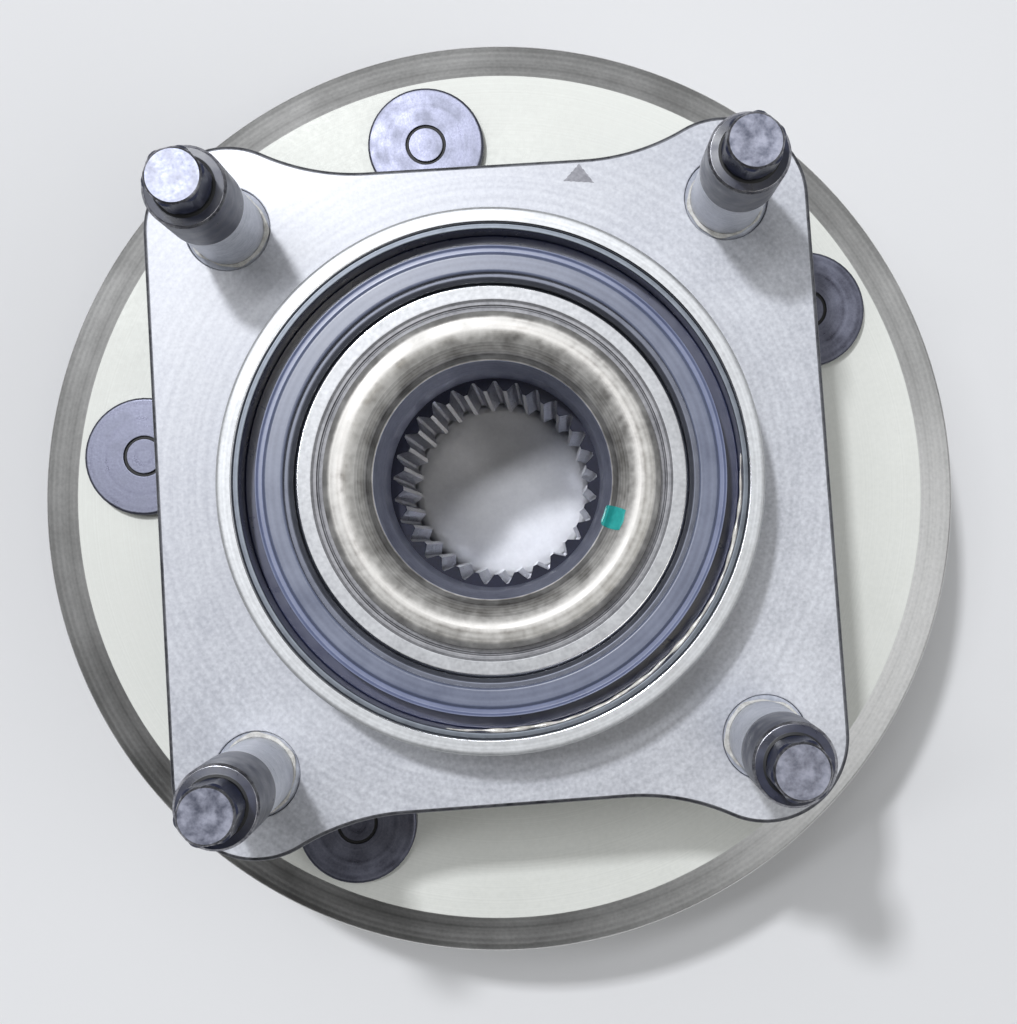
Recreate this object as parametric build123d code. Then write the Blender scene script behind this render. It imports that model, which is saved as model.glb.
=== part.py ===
from build123d import *
import math
import os

# A driven wheel hub bearing: two rows of angular-contact balls between a bolted outer ring and a splined,
# flanged spindle.  The bearing axis is +Z, pointing from the wheel to the knuckle.  Z = 0 is the plane of the
# wheel-stud tips, on which the part stands.  +X and +Y are parallel to the sides of the knuckle plate.
# All sizes are in millimetres.

# --- general clearances -------------------------------------------------------------------------------
SEAT_GAP = 0.01            # radial gap left at each press seat, so that neighbours never share a face
BALL_PLAY = 0.03           # gap between a ball and its raceway at the contact point
POCKET_PLAY = 0.2          # gap between a ball and its cage pocket
LIP_PLAY = 0.06            # running gap between a seal lip and the land that it wipes
EDGE = 0.6                 # general edge chamfer

# --- wheel studs --------------------------------------------------------------------------------------
WHEEL_PCD = 114.3
WHEEL_STUD_COUNT = 5
WHEEL_STUD_PHASE = 98.85   # rest angle of the first stud from +X, degrees
WHEEL_STUD_D = 12.0
WHEEL_STUD_REACH = 34.0    # from the wheel face to the tip
WHEEL_STUD_POINT = 1.6     # length of the tapered lead
WHEEL_KNURL_D = 12.9
WHEEL_HEAD_D = 18.7
WHEEL_HEAD_T = 2.6
HEAD_BUTTON_D = 5.6        # forged centre button on the head
HEAD_BUTTON_GROOVE = 0.45  # width and depth of the groove round it

# --- wheel flange and pilot ---------------------------------------------------------------------------
FLANGE_RIM = 16.25         # from the stud circle to the edge of the flange
FLANGE_T = 12.0
FLANGE_BEVEL_W = 5.6       # turned bevel round the back of the rim
FLANGE_BEVEL_DROP = 2.2
PILOT_D = 67.0
PILOT_H = 11.5
PILOT_WALL = 6.5
PILOT_LEAD = 1.5
PILOT_RELIEF_W = 2.5       # undercut at the foot of the pilot
PILOT_RELIEF_DEPTH = 1.2
NUT_POCKET_FLOOR = 2.0     # floor of the pocket inside the pilot, above the wheel face
FOOT_RISE = 2.2            # raised foot behind the flange, outside the outboard seal pocket
FOOT_H = 4.0
FOOT_SLOPE = 2.0

# --- splined bore -------------------------------------------------------------------------------------
SPLINE_TEETH = 29
SPLINE_TIP_R = 12.85
SPLINE_DEPTH = 1.35
SPLINE_TIP_LAND = 0.55
SPLINE_ROOT_LAND = 0.5
SPLINE_LEAD = 0.7
COUNTERBORE_STEP = 1.1     # counterbore outside the spline roots
COUNTERBORE_DEPTH = 13.7   # from the ring face to the top of the spline
RELIEF_CLEAR = 0.2         # bore below the spline, outside the roots
RELIEF_L = 6.0             # from the cap to the spline
CAP_T = 1.2
CAP_SKIRT = 4.0
CAP_CORNER = 1.5

# --- ball rows ----------------------------------------------------------------------------------------
BALL_D = 11.112
BALL_COUNT = 13
CONTACT_ANGLE = 36.0
GROOVE_RATIO = 0.52        # raceway radius over ball diameter
ROW_SPACING = 24.1
SHAFT_WALL = 3.7           # spindle wall between the counterbore and the ring seat
RING_WALL = 2.844          # inner ring wall under the raceway
INNER_HIGH_DROP = 1.25     # shoulders of the raceways, from the pitch circle
INNER_LOW_DROP = 3.2
OUTER_HIGH_RISE = 2.0
OUTER_LOW_RISE = 4.9
CAGE_WALL = 3.0
CAGE_BACK = 2.1            # cage ring behind the balls
CAGE_PRONG = 2.6           # how far the prongs reach past the ball centres

# --- outer ring and knuckle plate ---------------------------------------------------------------------
FLANGE_GAP = 6.4           # from the wheel flange to the outer ring
BODY_WALL = 4.7            # round the outboard seal pocket
BODY_FILLET = 4.0
SPIGOT_WALL = 2.15         # round the inboard seal pocket
SPIGOT_H = 15.1
SPIGOT_CHAMFER = 0.5
PLATE_T = 13.0
KNUCKLE_SPACING_X = 70.0
KNUCKLE_SPACING_Y = 75.5
LOBE_R = 11.7              # corner lobes, centred on the knuckle studs
WAIST_DIP = 4.85           # concave top and bottom sides, below the lobes
WAIST_BLEND_R = 31.0
PLATE_EDGE = 0.8

# --- inner ring face and formed collar ----------------------------------------------------------------
RING_RECESS = 3.0          # inner ring face below the outer ring's end
RING_GROOVE_STEP = 1.0     # turned groove in the ring face, outside the collar
RING_GROOVE_W = 0.8
RING_GROOVE_DEPTH = 0.5
COLLAR_OVERLAP = 3.1       # collar past the ring seat
COLLAR_CREST = 1.1         # highest circle of the collar, past the ring seat
COLLAR_H = 2.4
MOUTH_INSET = 0.8          # start of the dished mouth, inside the ring seat

# --- seals --------------------------------------------------------------------------------------------
SEAL_STEP = 1.5            # seal pocket outside the low shoulder of the raceway
SEAL_POCKET_DEPTH = 7.2
SEAL_TO_BALL = 0.344       # from the seal pocket's floor to the balls
SEAL_SHEET = 0.8           # steel thickness of the seal cases and the slinger
SEAL_SET_BACK = 0.4        # case edge below the ring's end
SEAL_LAND_RISE = 2.85      # spindle land for the outboard seal, outside the high shoulder
SEAL_RUBBER = 0.5
CASE_CLEAR = 2.45          # inboard case outside the high shoulder
LIP_GAP = 2.8              # black gap between the slinger and the seal pocket
AXIAL_LIP_GAP = 0.35       # between an axial lip and the face that it points at
ENCODER_INSET = 1.15       # encoder ring outside the high shoulder
ENCODER_T = 1.0
ENCODER_SET_BACK = 0.5

# --- knuckle studs ------------------------------------------------------------------------------------
KNUCKLE_HEAD_D = 16.6
KNUCKLE_HEAD_T = 4.5
KNUCKLE_KNURL_D = 11.8
KNUCKLE_SHANK_D = 10.1
KNUCKLE_SHANK_L = 17.8     # bare shank above the plate
KNUCKLE_THREAD_D = 10.5
KNUCKLE_THREAD_L = 13.8
KNUCKLE_DRIVE_AF = 7.0     # hexagonal drive end, across flats
KNUCKLE_DRIVE_L = 5.3
KNUCKLE_DRIVE_TOP_R = 3.3
KNUCKLE_NECK_L = 1.2

# --- levels, all worked out from the sizes above ------------------------------------------------------
Z_WHEEL_FACE = WHEEL_STUD_REACH
Z_FLANGE_BACK = Z_WHEEL_FACE + FLANGE_T
Z_PILOT_END = Z_WHEEL_FACE - PILOT_H
Z_POCKET = Z_WHEEL_FACE + NUT_POCKET_FLOOR
Z_FOOT = Z_FLANGE_BACK + FOOT_H
Z_OUTER_BOTTOM = Z_FLANGE_BACK + FLANGE_GAP
ROW_INSET = SEAL_POCKET_DEPTH + SEAL_TO_BALL + BALL_D / 2
Z_ROW_OUTBOARD = Z_OUTER_BOTTOM + ROW_INSET
Z_ROW_INBOARD = Z_ROW_OUTBOARD + ROW_SPACING
Z_OUTER_TOP = Z_ROW_INBOARD + ROW_INSET
Z_PLATE_TOP = Z_OUTER_TOP - SPIGOT_H
Z_PLATE_BOTTOM = Z_PLATE_TOP - PLATE_T
Z_RING_TOP = Z_OUTER_TOP - RING_RECESS
Z_RING_BOTTOM = (Z_ROW_OUTBOARD + Z_ROW_INBOARD) / 2
Z_COLLAR_TOP = Z_RING_TOP + COLLAR_H
Z_SPLINE_TOP = Z_RING_TOP - COUNTERBORE_DEPTH
Z_CAP = Z_POCKET + CAP_SKIRT
Z_SPLINE_BOTTOM = Z_CAP + RELIEF_L
Z_ENCODER_TOP = Z_OUTER_TOP - ENCODER_SET_BACK

# --- radii, from the bore outwards --------------------------------------------------------------------
SPLINE_ROOT_R = SPLINE_TIP_R + SPLINE_DEPTH
CAP_SEAT_R = SPLINE_ROOT_R + RELIEF_CLEAR
COUNTERBORE_R = SPLINE_ROOT_R + COUNTERBORE_STEP
SEAT_R = COUNTERBORE_R + SHAFT_WALL
BALL_R = BALL_D / 2
PITCH_R = SEAT_R + RING_WALL + BALL_R
GROOVE_R = GROOVE_RATIO * BALL_D
INNER_HIGH_R = PITCH_R - INNER_HIGH_DROP
INNER_LOW_R = PITCH_R - INNER_LOW_DROP
OUTER_HIGH_R = PITCH_R + OUTER_HIGH_RISE
OUTER_LOW_R = PITCH_R + OUTER_LOW_RISE
SEAL_POCKET_R = OUTER_LOW_R + SEAL_STEP
SPIGOT_R = SEAL_POCKET_R + SPIGOT_WALL
BODY_R = SEAL_POCKET_R + BODY_WALL
FOOT_R = SEAL_POCKET_R + FOOT_RISE
SEAL_LAND_R = INNER_HIGH_R + SEAL_LAND_RISE
FLANGE_R = WHEEL_PCD / 2 + FLANGE_RIM
OUTBOARD, INBOARD = -1, 1


def turned(steps):
    """Revolve a closed outline of (radius, height) steps; a step of four numbers is an arc, its middle last."""
    edges = []
    here = (steps[-1][0], 0, steps[-1][1])
    for step in steps:
        there = (step[0], 0, step[1])
        if len(step) == 4:
            edges.append(ThreePointArc(here, (step[2], 0, step[3]), there))
        else:
            edges.append(Line(here, there))
        here = there
    return revolve(make_face(edges), Axis.Z)


def ring(inner_r, outer_r, low, high):
    """A plain rectangular ring between two heights."""
    return turned([(inner_r, low), (outer_r, low), (outer_r, high), (inner_r, high)])


def groove(row_z, side, outer):
    """The torus that cuts a raceway: its contact point lies on the contact line of the row."""
    reach = BALL_R + BALL_PLAY - GROOVE_R
    angle = math.radians(CONTACT_ANGLE)
    turn = 1 if outer else -1
    centre_r = PITCH_R + turn * reach * math.cos(angle)
    centre_z = row_z - turn * side * reach * math.sin(angle)
    return Pos(0, 0, centre_z) * Torus(centre_r, GROOVE_R)


def wheel_stud_places():
    """Centres of the wheel studs on their circle."""
    places = []
    for i in range(WHEEL_STUD_COUNT):
        angle = math.radians(WHEEL_STUD_PHASE + 360 / WHEEL_STUD_COUNT * i)
        places.append((WHEEL_PCD / 2 * math.cos(angle), WHEEL_PCD / 2 * math.sin(angle)))
    return places


def knuckle_stud_places():
    """Centres of the knuckle studs, counter-clockwise from the first quadrant."""
    x, y = KNUCKLE_SPACING_X / 2, KNUCKLE_SPACING_Y / 2
    return [(x, y), (-x, y), (-x, -y), (x, -y)]


def plate_face():
    """Outline of the knuckle plate: round lobes on the studs, straight sides and a concave top and bottom."""
    lobe_x, lobe_y = KNUCKLE_SPACING_X / 2, KNUCKLE_SPACING_Y / 2
    side_x, waist_y = lobe_x + LOBE_R, lobe_y + LOBE_R - WAIST_DIP
    blend_y = waist_y + WAIST_BLEND_R
    reach = WAIST_BLEND_R + LOBE_R
    blend_x = lobe_x - math.sqrt(reach ** 2 - (blend_y - lobe_y) ** 2)
    tilt = math.degrees(math.atan2(blend_y - lobe_y, blend_x - lobe_x))
    edges = []
    for sx in (1, -1):
        edges.append(Line((sx * side_x, -lobe_y), (sx * side_x, lobe_y)))
        edges.append(Line((-blend_x, sx * waist_y), (blend_x, sx * waist_y)))
    corner = [CenterArc((lobe_x, lobe_y), LOBE_R, 0, tilt),
              CenterArc((blend_x, blend_y), WAIST_BLEND_R, 270, tilt - 90)]
    for edge in corner:
        left = mirror(edge, Plane.YZ)
        edges += [edge, left, mirror(edge, Plane.XZ), mirror(left, Plane.XZ)]
    return make_face(edges)


def spline_cutter():
    """The broached hole: a gear-shaped prism whose grooves narrow outwards, with a tapered lead."""
    half_tip = (2 * math.pi * SPLINE_TIP_R / SPLINE_TEETH - SPLINE_TIP_LAND) / 2 / SPLINE_TIP_R
    half_root = SPLINE_ROOT_LAND / 2 / SPLINE_ROOT_R
    points = []
    for i in range(SPLINE_TEETH):
        middle = 2 * math.pi * i / SPLINE_TEETH
        for radius, turn in ((SPLINE_TIP_R, -half_tip), (SPLINE_ROOT_R, -half_root),
                             (SPLINE_ROOT_R, half_root), (SPLINE_TIP_R, half_tip)):
            points.append((radius * math.cos(middle + turn), radius * math.sin(middle + turn)))
    prism = extrude(make_face(Polyline(*points, close=True)), Z_SPLINE_TOP - Z_SPLINE_BOTTOM + 2 * EDGE)
    lead = turned([(0, Z_SPLINE_TOP - SPLINE_LEAD), (SPLINE_TIP_R, Z_SPLINE_TOP - SPLINE_LEAD),
                   (SPLINE_TIP_R + SPLINE_LEAD, Z_SPLINE_TOP), (0, Z_SPLINE_TOP)])
    return Pos(0, 0, Z_SPLINE_BOTTOM - EDGE) * prism + lead


def outer_ring():
    """Fixed ring: two raceways, seal pockets, the knuckle plate and the spigot that enters the knuckle."""
    bend = BODY_FILLET * (1 - math.sqrt(0.5))
    low_pocket, high_pocket = Z_OUTER_BOTTOM + SEAL_POCKET_DEPTH, Z_OUTER_TOP - SEAL_POCKET_DEPTH
    blank = turned([
        (SEAL_POCKET_R + EDGE, Z_OUTER_BOTTOM), (BODY_R - EDGE, Z_OUTER_BOTTOM), (BODY_R, Z_OUTER_BOTTOM + EDGE),
        (BODY_R, Z_PLATE_BOTTOM - BODY_FILLET),
        (BODY_R + BODY_FILLET, Z_PLATE_BOTTOM, BODY_R + bend, Z_PLATE_BOTTOM - bend),
        (BODY_R + BODY_FILLET, Z_PLATE_BOTTOM + EDGE), (SPIGOT_R, Z_PLATE_TOP - EDGE),
        (SPIGOT_R, Z_OUTER_TOP - SPIGOT_CHAMFER), (SPIGOT_R - SPIGOT_CHAMFER, Z_OUTER_TOP),
        (SEAL_POCKET_R + EDGE / 4, Z_OUTER_TOP), (SEAL_POCKET_R, Z_OUTER_TOP - EDGE / 4),
        (SEAL_POCKET_R, high_pocket), (OUTER_LOW_R, high_pocket),
        (OUTER_LOW_R, Z_ROW_INBOARD), (OUTER_HIGH_R, Z_ROW_INBOARD),
        (OUTER_HIGH_R, Z_ROW_OUTBOARD), (OUTER_LOW_R, Z_ROW_OUTBOARD),
        (OUTER_LOW_R, low_pocket), (SEAL_POCKET_R, low_pocket), (SEAL_POCKET_R, Z_OUTER_BOTTOM + EDGE)])
    plate = extrude(Pos(0, 0, Z_PLATE_BOTTOM) * plate_face(), PLATE_T)
    plate = chamfer(plate.faces().sort_by(Axis.Z)[0].outer_wire().edges(), PLATE_EDGE)
    plate = chamfer(plate.faces().sort_by(Axis.Z)[-1].outer_wire().edges(), PLATE_EDGE)
    plate -= Pos(0, 0, Z_PLATE_BOTTOM) * Cylinder(SPIGOT_R - EDGE, 3 * PLATE_T)
    solid = blank + plate
    solid -= groove(Z_ROW_INBOARD, INBOARD, True)
    solid -= groove(Z_ROW_OUTBOARD, OUTBOARD, True)
    for x, y in knuckle_stud_places():
        solid -= Pos(x, y, Z_PLATE_BOTTOM) * Cylinder(KNUCKLE_KNURL_D / 2 + SEAT_GAP, 3 * PLATE_T)
    return solid


def hub_spindle():
    """Turning spindle: wheel flange and pilot, outboard raceway, ring seat, formed collar and splined bore."""
    pilot_r = PILOT_D / 2
    relief_r, relief_z = pilot_r + PILOT_RELIEF_W, Z_WHEEL_FACE + PILOT_RELIEF_DEPTH
    collar_r, crest_r, mouth_r = SEAT_R + COLLAR_OVERLAP, SEAT_R + COLLAR_CREST, SEAT_R - MOUTH_INSET
    waist_z, lip_z = Z_RING_TOP + COLLAR_H / 2, Z_RING_TOP - COLLAR_H / 2
    blank = turned([
        (pilot_r - PILOT_WALL, Z_PILOT_END), (pilot_r - PILOT_LEAD / 2, Z_PILOT_END),
        (pilot_r, Z_PILOT_END + PILOT_LEAD), (pilot_r, relief_z), (relief_r, relief_z), (relief_r, Z_WHEEL_FACE),
        (FLANGE_R - EDGE, Z_WHEEL_FACE), (FLANGE_R, Z_WHEEL_FACE + EDGE),
        (FLANGE_R, Z_FLANGE_BACK - FLANGE_BEVEL_DROP), (FLANGE_R - FLANGE_BEVEL_W, Z_FLANGE_BACK),
        (FOOT_R + FOOT_SLOPE, Z_FLANGE_BACK), (FOOT_R, Z_FLANGE_BACK + FOOT_SLOPE),
        (FOOT_R, Z_FOOT), (SEAL_LAND_R + EDGE, Z_FOOT), (SEAL_LAND_R, Z_FOOT + EDGE),
        (SEAL_LAND_R, Z_ROW_OUTBOARD - BALL_R - 2 * EDGE), (INNER_HIGH_R, Z_ROW_OUTBOARD - BALL_R),
        (INNER_HIGH_R, Z_ROW_OUTBOARD), (INNER_LOW_R, Z_ROW_OUTBOARD), (INNER_LOW_R, Z_RING_BOTTOM),
        (SEAT_R, Z_RING_BOTTOM), (SEAT_R, Z_RING_TOP - EDGE), (SEAT_R + EDGE, Z_RING_TOP),
        (collar_r - EDGE, Z_RING_TOP), (collar_r, Z_RING_TOP + EDGE),
        (crest_r, Z_COLLAR_TOP, collar_r - EDGE / 2, waist_z + EDGE),
        (mouth_r, waist_z, mouth_r + EDGE, Z_COLLAR_TOP - EDGE / 2), (COUNTERBORE_R + EDGE / 2, lip_z),
        (COUNTERBORE_R, lip_z - EDGE / 2), (COUNTERBORE_R, Z_SPLINE_TOP), (0, Z_SPLINE_TOP),
        (0, Z_SPLINE_BOTTOM), (CAP_SEAT_R, Z_SPLINE_BOTTOM), (CAP_SEAT_R, Z_POCKET),
        (pilot_r - PILOT_WALL, Z_POCKET)])
    solid = blank - groove(Z_ROW_OUTBOARD, OUTBOARD, False) - spline_cutter()
    for x, y in wheel_stud_places():
        solid -= Pos(x, y, Z_WHEEL_FACE) * Cylinder(WHEEL_KNURL_D / 2 + SEAT_GAP, 3 * FLANGE_T)
    return solid


def inner_ring():
    """Separate inner ring: the inboard raceway, pressed on the spindle and clamped by the formed collar."""
    seat_r, top = SEAT_R + SEAT_GAP, Z_RING_TOP - SEAT_GAP
    groove_in = SEAT_R + COLLAR_OVERLAP + RING_GROOVE_STEP - RING_GROOVE_W / 2
    groove_out = groove_in + RING_GROOVE_W
    blank = turned([
        (seat_r, Z_RING_BOTTOM + SEAT_GAP), (INNER_LOW_R, Z_RING_BOTTOM + SEAT_GAP), (INNER_LOW_R, Z_ROW_INBOARD),
        (INNER_HIGH_R, Z_ROW_INBOARD), (INNER_HIGH_R, top - EDGE / 2), (INNER_HIGH_R - EDGE / 2, top),
        (groove_out, top), (groove_out, top - RING_GROOVE_DEPTH), (groove_in, top - RING_GROOVE_DEPTH),
        (groove_in, top), (seat_r + EDGE, top), (seat_r, top - EDGE)])
    return blank - groove(Z_ROW_INBOARD, INBOARD, False)


def ball(row_z, index):
    """One ball of a row."""
    angle = 2 * math.pi * index / BALL_COUNT
    return Pos(PITCH_R * math.cos(angle), PITCH_R * math.sin(angle), row_z) * Sphere(BALL_R)


def cage(row_z, side):
    """Snap cage: a ring on the middle side of the row, with an open pocket for each ball."""
    ends = sorted((row_z - side * (BALL_R + CAGE_BACK), row_z + side * CAGE_PRONG))
    solid = ring(PITCH_R - CAGE_WALL / 2, PITCH_R + CAGE_WALL / 2, ends[0], ends[1])
    pocket = Rot(0, 90, 0) * Cylinder(BALL_R + POCKET_PLAY, 3 * CAGE_WALL)
    for i in range(BALL_COUNT):
        solid -= Rot(0, 0, 360 / BALL_COUNT * i) * Pos(PITCH_R, 0, row_z) * pocket
    return solid


def inboard_seal():
    """Cassette seal at the knuckle end: pressed case, rubber lips, slinger and magnetic encoder ring."""
    case_r, shoulder_r, slinger_r = SEAL_POCKET_R - SEAT_GAP, INNER_HIGH_R + SEAT_GAP, SEAL_POCKET_R - LIP_GAP
    floor = Z_OUTER_TOP - SEAL_POCKET_DEPTH + SEAT_GAP
    under = Z_ENCODER_TOP - ENCODER_T - SEAL_SHEET
    hole_r, wall_r, sleeve_r = INNER_HIGH_R + CASE_CLEAR, case_r - SEAL_SHEET, shoulder_r + SEAL_SHEET
    case = turned([
        (hole_r, floor), (case_r, floor), (case_r, Z_OUTER_TOP - SEAL_SET_BACK), (wall_r, Z_OUTER_TOP - SEAL_SET_BACK),
        (wall_r, floor + SEAL_SHEET), (hole_r, floor + SEAL_SHEET)])
    web = floor + SEAL_SHEET + SEAT_GAP
    wipe_r, root_r, tip_r = sleeve_r + LIP_PLAY, hole_r + SEAL_SHEET, slinger_r - SEAL_RUBBER
    lips = turned([
        (wipe_r, web + SEAL_RUBBER), (hole_r - SEAT_GAP, floor), (hole_r - SEAT_GAP, web),
        (wall_r - SEAT_GAP, web), (wall_r - SEAT_GAP, web + SEAL_RUBBER),
        (root_r + 2 * SEAL_RUBBER, web + SEAL_RUBBER), (tip_r, under - AXIAL_LIP_GAP),
        (tip_r - SEAL_RUBBER, under - AXIAL_LIP_GAP), (root_r, web + SEAL_RUBBER),
        (hole_r, web + 2 * SEAL_RUBBER), (wipe_r, web + 3 * SEAL_RUBBER)])
    slinger = turned([
        (shoulder_r, web), (sleeve_r, web), (sleeve_r, under), (slinger_r, under),
        (slinger_r, under + SEAL_SHEET - SEAT_GAP), (shoulder_r + SEAL_RUBBER, under + SEAL_SHEET - SEAT_GAP),
        (shoulder_r, under + SEAL_SHEET - SEAL_RUBBER)])
    encoder = ring(INNER_HIGH_R + ENCODER_INSET, slinger_r, Z_ENCODER_TOP - ENCODER_T, Z_ENCODER_TOP)
    return case, lips, slinger, encoder


def outboard_seal():
    """Seal at the wheel end: a pressed case and rubber lips that wipe the spindle's land and foot."""
    case_r = SEAL_POCKET_R - SEAT_GAP
    wall_r, hole_r, wipe_r = case_r - SEAL_SHEET, SEAL_LAND_R + 2 * SEAL_SHEET, SEAL_LAND_R + LIP_PLAY
    ceiling = Z_OUTER_BOTTOM + SEAL_POCKET_DEPTH - SEAT_GAP
    web = Z_OUTER_BOTTOM + SEAL_SET_BACK + SEAL_SHEET
    case = turned([
        (hole_r, web), (case_r, web), (case_r, ceiling), (wall_r, ceiling),
        (wall_r, web + SEAL_SHEET), (hole_r, web + SEAL_SHEET)])
    skin, low = web - SEAT_GAP, web - SEAT_GAP - SEAL_RUBBER
    lips = turned([
        (wipe_r, low), (hole_r, low - SEAL_RUBBER), (wall_r - SEAL_RUBBER, Z_FOOT + AXIAL_LIP_GAP),
        (wall_r, Z_FOOT + AXIAL_LIP_GAP), (hole_r + 2 * SEAL_RUBBER, low), (wall_r, low), (wall_r, skin),
        (hole_r - SEAT_GAP, skin), (hole_r - SEAT_GAP, web + SEAL_SHEET), (wipe_r, skin)])
    return case, lips


def wheel_stud(x, y):
    """Pressed-in wheel stud, its head behind the flange."""
    shank_r, knurl_r, head_r = WHEEL_STUD_D / 2, WHEEL_KNURL_D / 2, WHEEL_HEAD_D / 2
    button_r, cut = HEAD_BUTTON_D / 2, HEAD_BUTTON_GROOVE
    top = Z_FLANGE_BACK + SEAT_GAP + WHEEL_HEAD_T
    solid = turned([
        (0, 0), (shank_r - WHEEL_STUD_POINT, 0), (shank_r, WHEEL_STUD_POINT), (shank_r, Z_WHEEL_FACE),
        (knurl_r, Z_WHEEL_FACE + EDGE), (knurl_r, Z_FLANGE_BACK + SEAT_GAP), (head_r, Z_FLANGE_BACK + SEAT_GAP),
        (head_r, top - EDGE / 2), (head_r - EDGE / 2, top), (button_r + cut, top), (button_r + cut, top - cut),
        (button_r, top - cut), (button_r, top), (0, top)])
    return Pos(x, y, 0) * solid


def knuckle_stud(x, y):
    """Stud for the knuckle: head behind the plate, knurl, bare shank, thread and a hexagonal drive end."""
    head_r, knurl_r, shank_r = KNUCKLE_HEAD_D / 2, KNUCKLE_KNURL_D / 2, KNUCKLE_SHANK_D / 2
    thread_r, under = KNUCKLE_THREAD_D / 2, Z_PLATE_BOTTOM - SEAT_GAP
    thread_low = Z_PLATE_TOP + KNUCKLE_SHANK_L
    thread_top = thread_low + KNUCKLE_THREAD_L
    neck_top = thread_top + KNUCKLE_NECK_L
    corner_r = KNUCKLE_DRIVE_AF / math.sqrt(3)
    solid = turned([
        (0, under - KNUCKLE_HEAD_T), (head_r - EDGE, under - KNUCKLE_HEAD_T), (head_r, under - KNUCKLE_HEAD_T + EDGE),
        (head_r, under), (knurl_r, under), (knurl_r, Z_PLATE_TOP - EDGE), (shank_r, Z_PLATE_TOP),
        (shank_r, thread_low), (thread_r, thread_low + EDGE / 2), (thread_r, thread_top - EDGE),
        (corner_r, neck_top), (0, neck_top)])
    drive = extrude(Pos(0, 0, neck_top - EDGE) * RegularPolygon(corner_r, 6), KNUCKLE_DRIVE_L + EDGE)
    drive_top = neck_top + KNUCKLE_DRIVE_L
    point = turned([
        (0, thread_top), (corner_r, thread_top), (corner_r, drive_top - (corner_r - KNUCKLE_DRIVE_TOP_R)),
        (KNUCKLE_DRIVE_TOP_R, drive_top), (0, drive_top)])
    return Pos(x, y, 0) * (solid + (drive & point))


def bore_cap():
    """Pressed sheet cap that closes the outboard end of the splined bore; its skirt points to the wheel."""
    skirt_r = CAP_SEAT_R - SEAT_GAP
    bend = CAP_CORNER * (1 - math.sqrt(0.5))
    return turned([
        (0, Z_CAP - CAP_T), (skirt_r - CAP_T, Z_CAP - CAP_T), (skirt_r - CAP_T, Z_CAP - CAP_SKIRT),
        (skirt_r, Z_CAP - CAP_SKIRT), (skirt_r, Z_CAP - CAP_CORNER),
        (skirt_r - CAP_CORNER, Z_CAP, skirt_r - bend, Z_CAP - bend), (0, Z_CAP)])


def build_parts():
    """Every sub-part, by node name."""
    parts = {"outer_ring": outer_ring(), "hub_spindle": hub_spindle(), "inner_ring": inner_ring()}
    for name, row_z, side in (("outboard", Z_ROW_OUTBOARD, OUTBOARD), ("inboard", Z_ROW_INBOARD, INBOARD)):
        parts[f"cage_{name}"] = cage(row_z, side)
        for i in range(BALL_COUNT):
            parts[f"ball_{name}_{i + 1:02d}"] = ball(row_z, i)
    parts["seal_case_outboard"], parts["seal_lips_outboard"] = outboard_seal()
    (parts["seal_case_inboard"], parts["seal_lips_inboard"], parts["slinger"],
     parts["encoder_ring"]) = inboard_seal()
    for i, (x, y) in enumerate(wheel_stud_places()):
        parts[f"wheel_stud_{i + 1}"] = wheel_stud(x, y)
    for i, (x, y) in enumerate(knuckle_stud_places()):
        parts[f"knuckle_stud_{i + 1}"] = knuckle_stud(x, y)
    parts["bore_cap"] = bore_cap()
    return parts


os.makedirs("parts", exist_ok=True)
for node, shape in build_parts().items():
    export_step(shape, f"parts/{node}.step")
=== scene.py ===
import logging
import math
from dataclasses import dataclass, field
from enum import Enum
from typing import Any, Sequence

import bmesh
import bpy
from mathutils import Matrix, Vector


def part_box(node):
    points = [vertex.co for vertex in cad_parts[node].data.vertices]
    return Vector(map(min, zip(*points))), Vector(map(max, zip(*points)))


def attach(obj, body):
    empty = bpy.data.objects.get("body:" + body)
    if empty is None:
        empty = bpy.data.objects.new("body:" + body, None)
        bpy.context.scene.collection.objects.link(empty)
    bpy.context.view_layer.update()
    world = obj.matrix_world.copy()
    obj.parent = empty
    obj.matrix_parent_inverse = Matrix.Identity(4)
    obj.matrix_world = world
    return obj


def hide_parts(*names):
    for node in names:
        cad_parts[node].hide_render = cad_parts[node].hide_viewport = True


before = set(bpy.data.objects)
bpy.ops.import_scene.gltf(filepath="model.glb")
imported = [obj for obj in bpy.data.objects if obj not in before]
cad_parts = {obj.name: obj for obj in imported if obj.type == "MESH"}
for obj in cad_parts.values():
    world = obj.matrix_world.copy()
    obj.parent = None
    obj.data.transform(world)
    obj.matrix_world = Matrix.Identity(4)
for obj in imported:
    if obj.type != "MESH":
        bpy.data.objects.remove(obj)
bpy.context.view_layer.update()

# The looks of a driven wheel hub bearing that lies on its wheel studs.  The bearing axis is +Z and the row frame
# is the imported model's own.  Sizes are in millimetres and become metres only when a mesh is written.

MM = 0.001
TURNED_COUNT = 232         # steps round a turned piece, a multiple of the 29 spline teeth
FINE_COUNT = 64            # steps round a stud
SHARP_ANGLE = 35           # degrees, an edge that bends more shades sharp
WELD = 1e-6                # metres, vertices nearer than this are one
SPREAD = 4.0               # stretch that brings a noise's middle range to about 0 to 1
RACE_STEPS = 14            # chords along a raceway
BLEND_SHARE = 0.47         # largest share of a side that one blend takes
BLEND_STEP = 18            # degrees, largest turn from one chord of a blend to the next
SUPPORT = 0.12             # distance of a blend's support points
MOUTH = 0.3                # width of a hole's mouth, its rounded edge included

log = logging.getLogger("hub")

Point = tuple[float, float, float]
Pair = tuple[float, float]
Socket = bpy.types.NodeSocket


# --- small helpers ------------------------------------------------------------------------------------

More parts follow.
